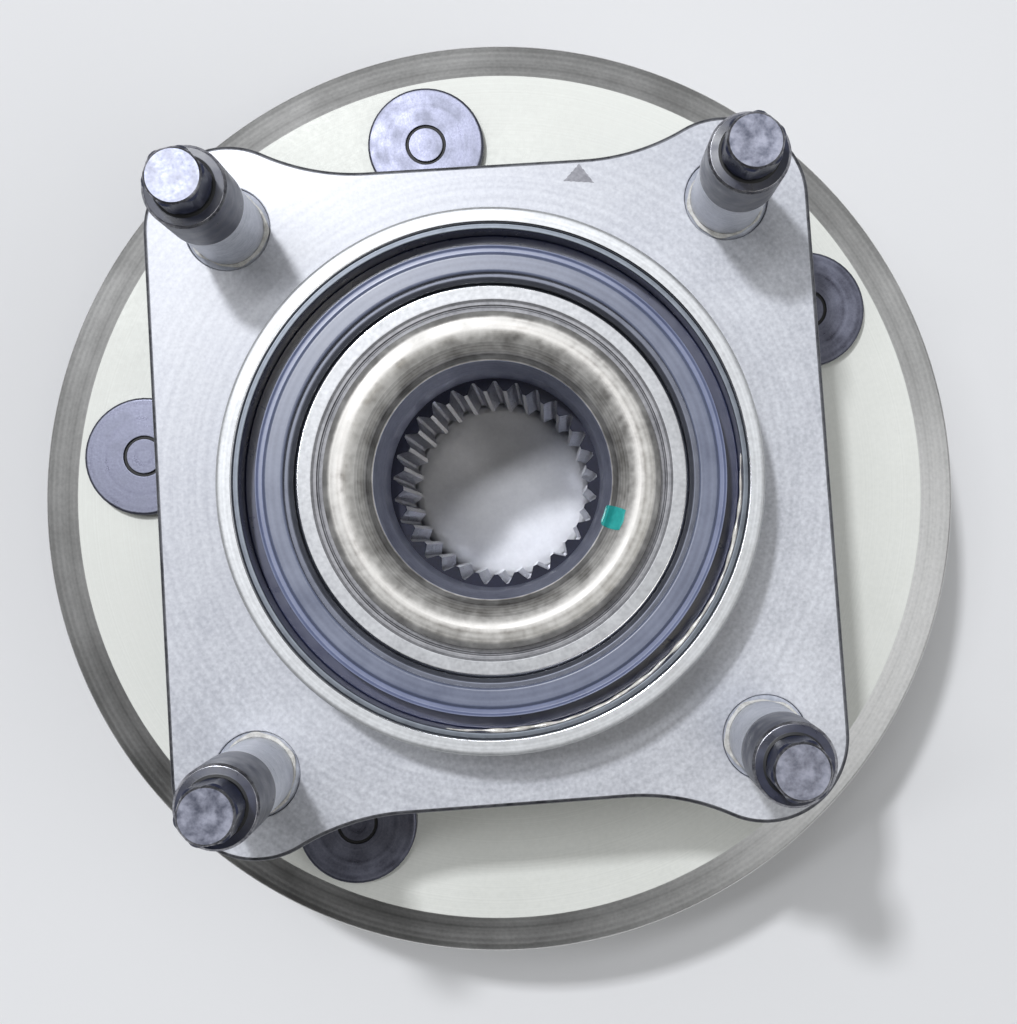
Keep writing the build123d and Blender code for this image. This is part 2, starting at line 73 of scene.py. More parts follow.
def linear(code: str) -> tuple[float, float, float, float]:
    """Turns an sRGB hex colour into linear RGBA.

    Args:
        code: Six hex digits, with or without a leading hash.

    Returns:
        Red, green, blue and an alpha of 1.
    """
    code = code.lstrip("#")
    shares = [int(code[i:i + 2], 16) / 255 for i in (0, 2, 4)]
    values = [s / 12.92 if s <= 0.04045 else ((s + 0.055) / 1.055) ** 2.4 for s in shares]
    return values[0], values[1], values[2], 1.0


def add(tree: bpy.types.NodeTree, kind: str, feeds: dict[Any, Any] | None = None, **settings: Any) -> bpy.types.Node:
    """Adds a node with its settings, and links or sets its inputs.

    Args:
        tree: Tree that gets the node.
        kind: The node's type name.
        feeds: Input name or index to a socket to link, or to a constant.
        settings: Attributes of the node.

    Returns:
        The new node.
    """
    made = tree.nodes.new(kind)
    for name, value in settings.items():
        setattr(made, name, value)
    for name, value in (feeds or {}).items():
        if isinstance(value, Socket):
            tree.links.new(value, made.inputs[name])
        else:
            made.inputs[name].default_value = value
    return made


# --- finishes -----------------------------------------------------------------------------------------

class Place(Enum):
    """Which coordinates a finish reads."""

    ROW = "row"            # the row frame, for pieces centred on the bearing axis
    OWN = "own_place"      # the piece's own attribute, for pieces that repeat off the axis


@dataclass(frozen=True)
class Grain:
    """One layer of pattern.

    Attributes:
        size: Size of the pattern in millimetres.
        tint: Share of the second colour that the layer brings, from 0 to 1.
        relief: Depth of the layer in micrometres.
        rough: Change of roughness from the layer's low to its high.
    """

    size: float
    tint: float = 0.0
    relief: float = 0.0
    rough: float = 0.0


@dataclass(frozen=True)
class Finish:
    """A surface: its two colours, its roughness and the layers of pattern that its making and use left.

    Attributes:
        name: What the material and its finish are.
        light: Main colour as sRGB hex.
        dark: Second colour, in the lows of the layers.
        roughness: Middle roughness.
        lines: Tool lines round the axis.
        grain: Fine even grain.
        cloud: Broad stains and handling marks.
        anisotropy: Stretch of the highlights across the tool lines.
        metallic: 1 for a bare metal, 0 for rubber, plastic, paint and oxide coats.
        coat: Clear oil, grease or lacquer on top.
        coat_rough: Its roughness.
        specular: Specular level of a surface that is no bare metal.
        place: Coordinates that the layers follow.
    """

    name: str
    light: str
    dark: str
    roughness: float
    lines: Grain = Grain(0.3)
    grain: Grain = Grain(0.5)
    cloud: Grain = Grain(9.0)
    anisotropy: float = 0.0
    metallic: float = 1.0
    coat: float = 0.0
    coat_rough: float = 0.12
    specular: float = 0.5
    place: Place = Place.ROW

    def material(self) -> bpy.types.Material:
        """Builds the material once.

        Returns:
            The material, from the file if an earlier piece made it.
        """
        found = bpy.data.materials.get(self.name)
        if found is not None:
            return found
        made = bpy.data.materials.new(self.name)
        made.use_nodes = True
        tree = made.node_tree
        tree.nodes.clear()
        if self.place is Place.OWN:
            where = add(tree, "ShaderNodeAttribute", attribute_name=self.place.value).outputs["Vector"]
        else:
            where = add(tree, "ShaderNodeTexCoord").outputs["Object"]
        split = add(tree, "ShaderNodeSeparateXYZ", {0: where})
        flat = add(tree, "ShaderNodeCombineXYZ", {0: split.outputs[0], 1: split.outputs[1]})
        radius = add(tree, "ShaderNodeVectorMath", {0: flat.outputs[0]}, operation="LENGTH")
        shader = add(tree, "ShaderNodeBsdfPrincipled")
        shader.inputs["Metallic"].default_value = self.metallic
        if not self.metallic:
            shader.inputs["Specular IOR Level"].default_value = self.specular
        if self.anisotropy:
            shader.inputs["Anisotropic"].default_value = self.anisotropy
            round_axis = add(tree, "ShaderNodeVectorMath", {0: (0.0, 0.0, 1.0), 1: flat.outputs[0]},
                             operation="CROSS_PRODUCT")
            unit = add(tree, "ShaderNodeVectorMath", {0: round_axis.outputs[0]}, operation="NORMALIZE")
            tree.links.new(unit.outputs[0], shader.inputs["Tangent"])
        if self.coat:
            shader.inputs["Coat Weight"].default_value = self.coat
            shader.inputs["Coat Roughness"].default_value = self.coat_rough
        self.dress(tree, shader, self.layers(tree, where, radius.outputs["Value"], split.outputs[2]))
        add(tree, "ShaderNodeOutputMaterial", {0: shader.outputs[0]})
        return made

    def layers(self, tree: bpy.types.NodeTree, where: Socket, radius: Socket,
               height: Socket) -> list[tuple[Grain, Socket]]:
        """Builds the pattern of each layer that the finish uses.

        Args:
            tree: The material's tree.
            where: Coordinates of the layers.
            radius: Distance from the axis.
            height: Height along it.

        Returns:
            Each layer with its value, from 0 to 1.
        """
        along = add(tree, "ShaderNodeMath", {0: radius, 1: height}, operation="ADD")
        lines = add(tree, "ShaderNodeTexNoise", {"W": along.outputs[0], "Scale": 1 / (self.lines.size * MM),
                                                 "Detail": 3.0}, noise_dimensions="1D")
        made = [(self.lines, lines.outputs[0])]
        for layer, detail in ((self.grain, 2.0), (self.cloud, 4.0)):
            noise = add(tree, "ShaderNodeTexNoise", {"Vector": where, "Scale": 1 / (layer.size * MM), "Detail": detail})
            made.append((layer, noise.outputs[0]))
        return made

    @staticmethod
    def total(tree: bpy.types.NodeTree, layers: list[tuple[Grain, Socket]], trait: str, gain: float,
              base: float) -> Socket | float:
        """Adds up what the layers do to one trait of the surface.

        Args:
            tree: The material's tree.
            layers: The layers and their values.
            trait: Name of the layers' attribute.
            gain: Factor on it.
            base: The trait without any layer.

        Returns:
            A socket, or the base where no layer has the trait.
        """
        result: Socket | float = base
        for layer, value in layers:
            amount = getattr(layer, trait) * gain
            if amount:
                result = add(tree, "ShaderNodeMath", {0: value, 1: amount, 2: result},
                             operation="MULTIPLY_ADD").outputs[0]
        return result

    def dress(self, tree: bpy.types.NodeTree, shader: bpy.types.Node, layers: list[tuple[Grain, Socket]]) -> None:
        """Adds the layers up into colour, roughness and relief.

        Args:
            tree: The material's tree.
            shader: Its Principled shader.
            layers: The layers and their values.
        """
        levels = [(layer, add(tree, "ShaderNodeMath", {0: value, 1: 0.5}, operation="SUBTRACT").outputs[0])
                  for layer, value in layers]
        share = add(tree, "ShaderNodeClamp", {0: self.total(tree, levels, "tint", SPREAD, 0.5)})
        colour = add(tree, "ShaderNodeMix", {0: share.outputs[0], 6: linear(self.dark), 7: linear(self.light)},
                     data_type="RGBA")
        tree.links.new(colour.outputs[2], shader.inputs["Base Color"])
        shader.inputs["Roughness"].default_value = self.roughness
        rough = self.total(tree, levels, "rough", SPREAD, self.roughness)
        if isinstance(rough, Socket):
            kept = add(tree, "ShaderNodeClamp", {0: rough, 1: 0.06, 2: 1.0})
            tree.links.new(kept.outputs[0], shader.inputs["Roughness"])
        relief = self.total(tree, levels, "relief", 1.0, 0.0)
        if isinstance(relief, Socket):
            bump = add(tree, "ShaderNodeBump", {"Height": relief, "Distance": 1e-6, "Strength": 1.0})
            tree.links.new(bump.outputs[0], shader.inputs["Normal"])


# Ground steel of the knuckle plate: bright, finely speckled, with faint facing arcs under a film of oil.
PLATE_STEEL = Finish("ground_bearing_steel_plate", "#D0D2D8", "#A3A5AD", 0.55, Grain(0.8, 0.12, 1.5),
                    Grain(0.55, 0.35, 6.0, 0.04), Grain(9.0, 0.30, 0.0, 0.06), metallic=0.3, coat=0.45,
                    coat_rough=0.24)
# Finish-turned spigot and ring end: brighter and smoother than the plate, with fine rings.
SPIGOT_STEEL = Finish("fine_turned_bearing_steel", "#C9CBCD", "#9D9EA0", 0.46, Grain(0.3, 0.20, 1.5),
                     Grain(0.5, 0.20, 2.0), Grain(5.0, 0.25, 0.0, 0.08), metallic=0.5, coat=0.3, coat_rough=0.30)
# Forged skin left round the plate and body: darker, dull and slightly pitted.
FORGED_STEEL = Finish("forged_steel_skin", "#85868B", "#56575C", 0.52, Grain(2.0), Grain(0.8, 0.4, 18.0, 0.1),
                     Grain(8.0, 0.4, 0.0, 0.1))
# Honed raceways and seal pockets: near-mirror bearing steel.
RACEWAY_STEEL = Finish("honed_raceway_steel", "#CFD0D4", "#A7A8AC", 0.14, Grain(0.15, 0.1, 0.4), Grain(0.6, 0.05),
                      Grain(9.0, 0.1))
# Back of the wheel flange: pale, even and matte after fine turning and a thin phosphate wash.
FLANGE_STEEL = Finish("phosphate_washed_turned_steel", "#EEEFEA", "#CFD1CB", 0.60, Grain(0.25, 0.10, 1.0),
                     Grain(0.7, 0.12, 2.0, 0.04), Grain(14.0, 0.22, 0.0, 0.06), metallic=0.3)
# Bevel and rim of the flange: bare turned steel, darker, with coarser rings.
BEVEL_STEEL = Finish("bare_turned_steel_rim", "#F0EFED", "#C6C5C3", 0.40, Grain(0.5, 0.30, 2.0, 0.05),
                    Grain(0.6, 0.2, 2.0), Grain(12.0, 0.35, 0.0, 0.08), anisotropy=0.3)
# Rolled collar: cold-formed by an orbiting tool, smooth and warm-bright with smeared scuffs.
COLLAR_STEEL = Finish("orbital_formed_steel_collar", "#CFCDC9", "#85827E", 0.46, Grain(0.5, 0.25, 2.0, 0.04),
                     Grain(0.9, 0.20, 4.0, 0.05), Grain(3.4, 0.40, 8.0, 0.14), metallic=0.65)
# Counterbore and mouth of the bore: heat-tinted blue-grey from induction hardening.
BORE_STEEL = Finish("heat_tinted_bore_steel", "#B9BDCE", "#7F839B", 0.46, Grain(0.5, 0.15, 2.0), Grain(0.6, 0.15, 1.0),
                   Grain(4.0, 0.3, 0.0, 0.08), metallic=0.4)
# Flanks and roots of the broached spline: the same steel as the lands, painted darker as the shade of the deep grooves,
# with a satin sheen.
SPLINE_FLANK_SHADE = Finish("spline_flank_painted_shade", "#A3A6B4", "#6E7180", 0.30, Grain(0.5, 0.15, 1.0),
                     Grain(0.5, 0.25, 4.0, 0.05), Grain(4.0, 0.25))
# End faces of the teeth and the narrow floor outside them: dark navy, hardly any sheen.
TOOTH_END = Finish("dark_navy_tooth_end", "#20233A", "#131522", 0.55, Grain(0.5, 0.1), Grain(0.4, 0.2, 3.0),
                   Grain(3.0, 0.3), metallic=0.0, specular=0.25)
# Narrow tooth lands: the same broached steel, painted bright as a painted highlight of the lit cap that they mirror.
LAND_HIGHLIGHT = Finish("tooth_land_painted_highlight", "#F0F0F4", "#D4D4DA", 0.22, Grain(0.5, 0.1, 1.0),
                    Grain(0.5, 0.15, 1.0), Grain(5.0, 0.15))
# Face of the inner ring: ground and lapped bearing steel, pale with fine rings and handling scratches.
RING_FACE_STEEL = Finish("lapped_bearing_ring_face", "#B9BABC", "#8E8F92", 0.44, Grain(0.3, 0.12, 1.0),
                         Grain(0.6, 0.28, 3.0), Grain(3.0, 0.30, 0.0, 0.06), metallic=0.4, coat=0.4, coat_rough=0.28)
# Relief turned between the ring's face and the collar: duller than the ground face.
RELIEF_STEEL = Finish("turned_relief_steel", "#9A9A9D", "#6A6A6E", 0.50, Grain(0.5, 0.35, 1.0), Grain(0.6, 0.25, 2.0),
                      Grain(4.0, 0.30), metallic=0.4)
# Pressed stainless sheet of the seal case and slinger: smooth, slightly wavy from drawing.
SHEET_STEEL = Finish("drawn_stainless_sheet", "#7B8189", "#4E5259", 0.44, Grain(0.4, 0.2, 1.5), Grain(0.8, 0.1, 1.0),
                     Grain(3.0, 0.25, 4.0, 0.06), metallic=0.8)
# Slinger under the encoder: the same sheet, darkened by grease.
SLINGER_SHEET = Finish("grease_darkened_sheet", "#6B6E79", "#464953", 0.40, Grain(0.4, 0.2, 1.5), Grain(0.8, 0.1, 1.0),
                       Grain(3.0, 0.25, 4.0, 0.06), metallic=0.6)
# Magnetic encoder: ferrite-filled rubber bonded on sheet, smooth and blue-black with a soft gloss; its colour is
# painted a lighter lavender blue, a painted reflection of the sheen that the gloss shows.
ENCODER_RUBBER_PAINTED_SHEEN = Finish("encoder_rubber_painted_sheen", "#7E86A4", "#5F6785", 0.30, Grain(0.6, 0.20, 0.8),
                        Grain(0.6, 0.1, 1.0), Grain(6.0, 0.3, 0.0, 0.04), metallic=0.0, specular=0.7)
# Its inner band, where the rubber thins over the sheet: greyer and a little duller, and painted lighter too, a painted
# reflection of its sheen.
ENCODER_INNER_PAINTED_SHEEN = Finish("thin_rubber_painted_sheen", "#72798F", "#565D74", 0.32, Grain(0.5, 0.20, 1.0),
                       Grain(0.5, 0.15, 1.0), Grain(5.0, 0.35, 0.0, 0.04), metallic=0.0, specular=0.7)
# Seal lips and the case's lining: moulded nitrile rubber wet with grease, blue-black.
LIP_RUBBER = Finish("greased_nitrile_rubber", "#3F4566", "#2C3150", 0.30, Grain(0.5, 0.1, 1.0), Grain(0.7, 0.1, 3.0),
                    Grain(2.2, 0.15, 5.0, 0.05), metallic=0.0, specular=0.7, coat=0.6)
# Cage: glass-filled polyamide, satin with faint mould lines.
CAGE_POLYAMIDE = Finish("glass_filled_polyamide", "#C9B78F", "#AE9B72", 0.46, Grain(0.8, 0.1, 2.0),
                        Grain(0.5, 0.25, 4.0), Grain(5.0, 0.25), metallic=0.0)
# Balls: lapped chrome steel, a near mirror.
BALL_STEEL = Finish("lapped_chrome_steel_ball", "#D8D9DC", "#BFC0C4", 0.09, Grain(0.8, 0.0), Grain(0.6, 0.1),
                    Grain(4.0, 0.1, 0.0, 0.02))
# Heads of the wheel studs: black-oxide forged steel, satin, with rubbed rings.
HEAD_OXIDE = Finish("black_oxide_stud_head", "#6C6E7C", "#4A4B58", 0.36, Grain(0.9, 0.3, 2.0, 0.05),
                    Grain(0.35, 0.2, 3.0), Grain(3.0, 0.35, 0.0, 0.10), metallic=0.75, place=Place.OWN)
# Their shanks and threads: the same oxide, oiled and a little browner.
THREAD_OXIDE = Finish("oiled_black_oxide_thread", "#43434A", "#2C2C31", 0.36, Grain(0.5, 0.2, 1.0),
                      Grain(0.4, 0.2, 3.0), Grain(4.0, 0.3, 0.0, 0.08), metallic=0.85, place=Place.OWN)
# Recesses and turned rings that the light hardly enters, painted near black as their shade.
RECESS_PAINTED_SHADE = Finish("painted_shade_in_recess", "#141519", "#0C0D10", 0.55, Grain(0.5, 0.1), Grain(0.4, 0.1), Grain(3.0, 0.2),
                   metallic=0.0, place=Place.OWN)
# Bare shank of the knuckle studs: zinc-phosphated steel, pale cool silver with turned rings.
SHANK_ZINC = Finish("zinc_phosphate_shank", "#EEF0F8", "#BFC4D0", 0.38, Grain(0.35, 0.30, 3.0, 0.05),
                    Grain(0.5, 0.25, 4.0), Grain(2.5, 0.4, 0.0, 0.10), metallic=0.3, place=Place.OWN)
# Upper section and drive: glossy blue-black oxide under oil.
BLUED_STEEL = Finish("oiled_blue_black_oxide", "#353A54", "#1F2233", 0.34, Grain(0.5, 0.15, 1.0), Grain(0.5, 0.15, 2.0),
                     Grain(2.5, 0.35, 0.0, 0.10), metallic=0.0, specular=0.6, place=Place.OWN)
# Drive's end face: the oxide rubbed through by the socket, mid grey with bright specks.
DRIVE_FACE = Finish("rubbed_drive_end", "#9395A3", "#565968", 0.40, Grain(0.6, 0.0), Grain(0.45, 0.25, 5.0),
                    Grain(1.6, 0.6, 6.0, 0.12), metallic=0.5, place=Place.OWN)
# Edges where the coat is worn to bright steel, also painted bright as the highlight that their rounding catches.
WORN_EDGE_AND_HIGHLIGHT = Finish("worn_edge_and_painted_highlight", "#C9C9CF", "#75757D", 0.28, Grain(0.5, 0.2), Grain(0.4, 0.3, 3.0),
                   Grain(1.6, 0.5), place=Place.OWN)
# Cap in the bore: zinc-plated pressed sheet, pale with a soft sheen and faint stains.
CAP_SHEET = Finish("zinc_plated_pressed_sheet", "#CFD0D4", "#AEAFB5", 0.34, Grain(0.8, 0.0), Grain(0.6, 0.10, 2.0),
                   Grain(3.0, 0.18, 3.0, 0.04), metallic=0.6)
# Paint dab of the final check: quick-drying teal marker, thin and glossy.
MARKER_PAINT = Finish("teal_marker_paint", "#35B5AF", "#229B97", 0.40, Grain(0.6, 0.0), Grain(0.5, 0.35, 12.0),
                      Grain(1.4, 0.4, 0.0, 0.08), metallic=0.0, coat=0.4)
# Rubbed patch on the plate: a dull grey transfer from packing.
RUB_MARK = Finish("dull_rubbed_patch", "#9B9BA1", "#77777D", 0.6, Grain(0.6, 0.1), Grain(0.45, 0.4, 4.0),
                  Grain(2.0, 0.3), metallic=0.6)
# Dried sealant squeezed out round the knuckle studs.
SEALANT = Finish("dried_thread_sealant", "#DEDDD9", "#B4B2AC", 0.50, Grain(0.4, 0.1), Grain(0.4, 0.5, 10.0),
                 Grain(1.2, 0.6), metallic=0.0, place=Place.OWN)
# Grease pressed out along the case's rim: pale, thin and glossy.
GREASE = Finish("pale_seal_grease", "#ECEAE4", "#B9B5AB", 0.20, Grain(0.5, 0.0), Grain(0.4, 0.3), Grain(1.0, 0.4),
                metallic=0.0, coat=0.8)


# --- meshes -------------------------------------------------------------------------------------------

Corner = tuple[float, ...]   # radius, height, blend radius, zone from here to the next corner


def arc(centre: Pair, radius: float, start: float, end: float, steps: int, zone: int = 0) -> list[Corner]:
    """Corners along an arc of an outline, with no blend of their own.

    Args:
        centre: Radius and height of the arc's centre.
        radius: Radius of the arc.
        start: First angle in degrees, from the outward direction towards +Z.
        end: Last angle.
        steps: Number of chords.
        zone: Zone of the stretch.

    Returns:
        The corners, both ends included.
    """
    angles = [math.radians(start + (end - start) * i / steps) for i in range(steps + 1)]
    return [(centre[0] + radius * math.cos(a), centre[1] + radius * math.sin(a), 0.0, zone) for a in angles]


def outline(corners: Sequence[Corner], closed: bool = True, support: float = SUPPORT) -> list[tuple[float, float, int]]:
    """Rounds the corners of an outline and adds a support point beside each blend, so flats stay flat.

    Args:
        corners: Radius, height, blend radius and zone of each corner.
        closed: Whether the last corner joins the first.
        support: Distance of the support points in millimetres.

    Returns:
        Radius, height and zone of each point.
    """
    full = [(c[0], c[1], c[2] if len(c) > 2 else 0.0, int(c[3]) if len(c) > 3 else 0) for c in corners]
    count = len(full)
    spots = [Vector((c[0], c[1])) for c in full]
    lengths = [(spots[(i + 1) % count] - spots[i]).length for i in range(count)]

    def sides(i: int) -> tuple[Vector, Vector, float]:
        """Directions from a corner to its neighbours, and half the angle between them."""
        back, ahead = (spots[i - 1] - spots[i]).normalized(), (spots[(i + 1) % count] - spots[i]).normalized()
        return back, ahead, back.angle(ahead) / 2

    reach = []
    for i, (_, _, blend, _) in enumerate(full):
        sharp = blend <= 0 or (not closed and i in (0, count - 1))
        reach.append(0.0 if sharp else min(blend / math.tan(sides(i)[2]), BLEND_SHARE * lengths[i - 1],
                                           BLEND_SHARE * lengths[i]))
    points: list[tuple[float, float, int]] = []
    for i, (r, z, _, zone) in enumerate(full):
        last_zone = full[i - 1][3]
        t = reach[i]
        if t <= 0:
            points.append((r, z, zone))
            continue
        back, ahead, half = sides(i)
        radius = t * math.tan(half)
        centre = spots[i] + (back + ahead).normalized() * (radius / math.sin(half))
        room = (lengths[i - 1] - t - reach[i - 1]) / 3
        if room > 0.01:
            spot = spots[i] + back * (t + min(support, room))
            points.append((spot.x, spot.y, last_zone))
        first, last = spots[i] + back * t - centre, spots[i] + ahead * t - centre
        turn = first.angle_signed(last)
        steps = max(2, math.ceil(abs(turn) / math.radians(BLEND_STEP)))
        for k in range(steps + 1):
            step = first.copy()
            step.rotate(Matrix.Rotation(-turn * k / steps, 2))
            spot = centre + step
            points.append((spot.x, spot.y, zone if k == steps else last_zone))
        room = (lengths[i] - t - reach[(i + 1) % count]) / 3
        if room > 0.01:
            spot = spots[i] + ahead * (t + min(support, room))
            points.append((spot.x, spot.y, zone))
    return points


def circle(radius: float, z: float, count: int, centre: Pair = (0.0, 0.0)) -> list[Point]:
    """Points of a level circle, counter-clockwise from +X."""
    steps = [2 * math.pi * i / count for i in range(count)]
    return [(centre[0] + radius * math.cos(a), centre[1] + radius * math.sin(a), z) for a in steps]


def mouths(centres: Sequence[Pair], radius: float, z: float) -> list[list[Point]]:
    """Loops round the mouths of holes, where the level faces end."""
    return [circle(radius + MOUTH, z, FINE_COUNT, c) for c in centres]


@dataclass
class Piece:
    """A mesh in the making, in millimetres.

    Attributes:
        name: Name of the finished object.
        finishes: Finish of each zone.
        points: Vertices.
        faces: Vertex numbers of each face.
        zones: Zone of each face.
    """

    name: str
    finishes: Sequence[Finish]
    points: list[Point] = field(default_factory=list)
    faces: list[tuple[int, ...]] = field(default_factory=list)
    zones: list[int] = field(default_factory=list)

    def join(self, loops: Sequence[Sequence[Point]], zones: Sequence[int], closed: bool = False,
             rings: bool = True) -> None:
        """Joins neighbouring loops of equal length with quads.

        Args:
            loops: Rows of points.
            zones: Zone of the strip after each loop.
            closed: Whether the last loop joins the first.
            rings: Whether each loop is closed in itself.
        """
        start, size, count = len(self.points), len(loops[0]), len(loops)
        for loop in loops:
            self.points.extend(loop)
        for j in range(count if closed else count - 1):
            k = (j + 1) % count
            a, b = start + j * size, start + k * size
            for i in range(size if rings else size - 1):
                n = (i + 1) % size
                self.faces.append((a + i, a + n, b + n, b + i))
                self.zones.append(zones[j])

    def turn(self, corners: Sequence[Corner], closed: bool = True, count: int = TURNED_COUNT,
             centre: Pair = (0.0, 0.0), support: float = SUPPORT) -> None:
        """Revolves an outline about a vertical axis.

        Args:
            corners: The outline, as outline() takes it.
            closed: Whether the outline is closed.
            count: Steps round the axis.
            centre: Place of the axis.
            support: Distance of the support points.
        """
        points = outline(corners, closed, support)
        self.join([circle(r, z, count, centre) for r, z, _ in points], [p[2] for p in points], closed)

    def bore(self, centres: Sequence[Pair], radius: float, levels: Pair, blend: float, zone: int) -> None:
        """Turns the walls of through holes.

        Args:
            centres: Places of the holes.
            radius: Their radius.
            levels: Heights of both ends.
            blend: Rounding of their edges.
            zone: Zone of their walls.
        """
        mouth, (first, last) = radius + MOUTH, levels
        for centre in centres:
            self.turn([(mouth, first), (radius, first, blend, zone), (radius, last, blend, zone), (mouth, last)], False,
                      FINE_COUNT, centre)

    def fill(self, loops: Sequence[Sequence[Point]], zone: int) -> None:
        """Fills the level area between an outer loop and the holes in it.

        Args:
            loops: The boundary loops, all at one height.
            zone: Zone of the new faces.
        """
        work = bmesh.new()
        for loop in loops:
            made = [work.verts.new(p) for p in loop]
            for i, vertex in enumerate(made):
                work.edges.new((vertex, made[(i + 1) % len(made)]))
        bmesh.ops.triangle_fill(work, use_beauty=True, edges=work.edges[:])
        work.verts.index_update()
        start = len(self.points)
        self.points.extend(tuple(v.co) for v in work.verts)
        for face in work.faces:
            self.faces.append(tuple(start + v.index for v in face.verts))
            self.zones.append(zone)
        work.free()

    def take(self, mesh: bpy.types.Mesh, first_zone: int) -> None:
        """Adds a finished mesh in metres, with the zones of its face attribute counted from the first one given."""
        start = len(self.points)
        self.points.extend(tuple(v.co / MM) for v in mesh.vertices)
        zones = mesh.attributes["zone"].data
        for polygon in mesh.polygons:
            self.faces.append(tuple(start + i for i in polygon.vertices))
            self.zones.append(first_zone + int(zones[polygon.index].value))

    def raw(self) -> bpy.types.Mesh:
        """Writes the mesh in metres as it is, with its zones as material numbers."""
        made = bpy.data.meshes.new(self.name)
        made.from_pydata([(x * MM, y * MM, z * MM) for x, y, z in self.points], [], self.faces)
        made.polygons.foreach_set("material_index", self.zones)
        return made

    def mesh(self) -> bpy.types.Mesh:
        """Writes the finished mesh: doubles merged, normals outward, smooth, with sharp edges marked."""
        made = self.raw()
        work = bmesh.new()
        work.from_mesh(made)
        bmesh.ops.remove_doubles(work, verts=work.verts[:], dist=WELD)
        bmesh.ops.dissolve_degenerate(work, edges=work.edges[:], dist=WELD)
        bmesh.ops.recalc_face_normals(work, faces=work.faces[:])
        open_edges = sum(1 for e in work.edges if len(e.link_faces) != 2)
        if open_edges:
            log.info("%s: %d open edges", self.name, open_edges)
        for face in work.faces:
            face.smooth = True
        work.to_mesh(made)
        work.free()
        made.set_sharp_from_angle(angle=math.radians(SHARP_ANGLE))
        return made

    def build(self, body: str, slot: str, *nodes: str) -> bpy.types.Object:
        """Finishes the piece as an object of a body.

        Args:
            body: CAD body that it rides on.
            slot: The record's material slot, passed on but not used.
            nodes: CAD nodes that it stands for.

        Returns:
            The object.
        """
        made = self.mesh()
        for finish in self.finishes:
            made.materials.append(finish.material())
        return place_object(self.name, made, body, slot, *nodes)


def place_object(name: str, mesh: bpy.types.Mesh, body: str, slot: str, *nodes: str) -> bpy.types.Object:
    """Puts a finished mesh into the scene on its body and reports it.

    Args:
        name: Name of the object.
        mesh: Its mesh.
        body: CAD body that it rides on.
        slot: The record's material slot; not used.
        nodes: CAD nodes that it stands for.

    Returns:
        The object.
    """
    made = bpy.data.objects.new(name, mesh)
    bpy.context.scene.collection.objects.link(made)
    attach(made, body)
    if nodes:
        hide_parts(*nodes)
    log.info("%s: %d faces on %s", name, len(mesh.polygons), body)
    return made


# --- repeated pieces ----------------------------------------------------------------------------------

class Repeat:
    """A Geometry Nodes tree that repeats a mesh, realizes the copies and dresses them by zone."""

    def __init__(self, name: str, finishes: Sequence[Finish]) -> None:
        """Starts the tree with its geometry sockets.

        Args:
            name: Name of the tree.
            finishes: Finish of each zone.
        """
        self.tree = bpy.data.node_groups.new(name, "GeometryNodeTree")
        self.finishes = finishes
        self.keys: dict[str, str] = {}
        self.tree.interface.new_socket("Geometry", in_out="INPUT", socket_type="NodeSocketGeometry")
        self.tree.interface.new_socket("Geometry", in_out="OUTPUT", socket_type="NodeSocketGeometry")

    def number(self, name: str, kind: str = "NodeSocketFloat") -> None:
        """Adds a named input to the tree."""
        self.keys[name] = self.tree.interface.new_socket(name, in_out="INPUT", socket_type=kind).identifier

    def close(self, geometry: Socket) -> None:
        """Ends the tree in Realize Instances, a weld and one Set Material for each zone.

        Args:
            geometry: The instances.
        """
        real = add(self.tree, "GeometryNodeRealizeInstances", {0: geometry})
        result = add(self.tree, "GeometryNodeMergeByDistance", {0: real.outputs[0], "Distance": WELD}).outputs[0]
        zone = add(self.tree, "GeometryNodeInputNamedAttribute", {"Name": "zone"}, data_type="INT")
        for number, finish in enumerate(self.finishes):
            chosen = add(self.tree, "FunctionNodeCompare", {2: zone.outputs[0], 3: number}, data_type="INT",
                         operation="EQUAL")
            result = add(self.tree, "GeometryNodeSetMaterial", {
                "Geometry": result, "Selection": chosen.outputs[0], "Material": finish.material()}).outputs[0]
        add(self.tree, "NodeGroupOutput", {0: result})

    def run(self, mesh: bpy.types.Mesh, **values: Any) -> bpy.types.Mesh:
        """Runs the tree on a mesh.

        Args:
            mesh: Input geometry.
            values: Value of each named input, with underscores for spaces.

        Returns:
            The plain mesh that the tree makes.
        """
        carrier = bpy.data.objects.new("carrier", mesh)
        bpy.context.scene.collection.objects.link(carrier)
        modifier = carrier.modifiers.new("repeat", "NODES")
        modifier.node_group = self.tree
        for name, value in values.items():
            modifier[self.keys[name.replace("_", " ")]] = value
        bpy.context.view_layer.update()
        graph = bpy.context.evaluated_depsgraph_get()
        made = bpy.data.meshes.new_from_object(carrier.evaluated_get(graph), preserve_all_data_layers=True,
                                               depsgraph=graph)
        carrier.modifiers.remove(modifier)
        bpy.data.objects.remove(carrier)
        for polygon in made.polygons:
            polygon.use_smooth = True
        made.set_sharp_from_angle(angle=math.radians(SHARP_ANGLE))
        return made


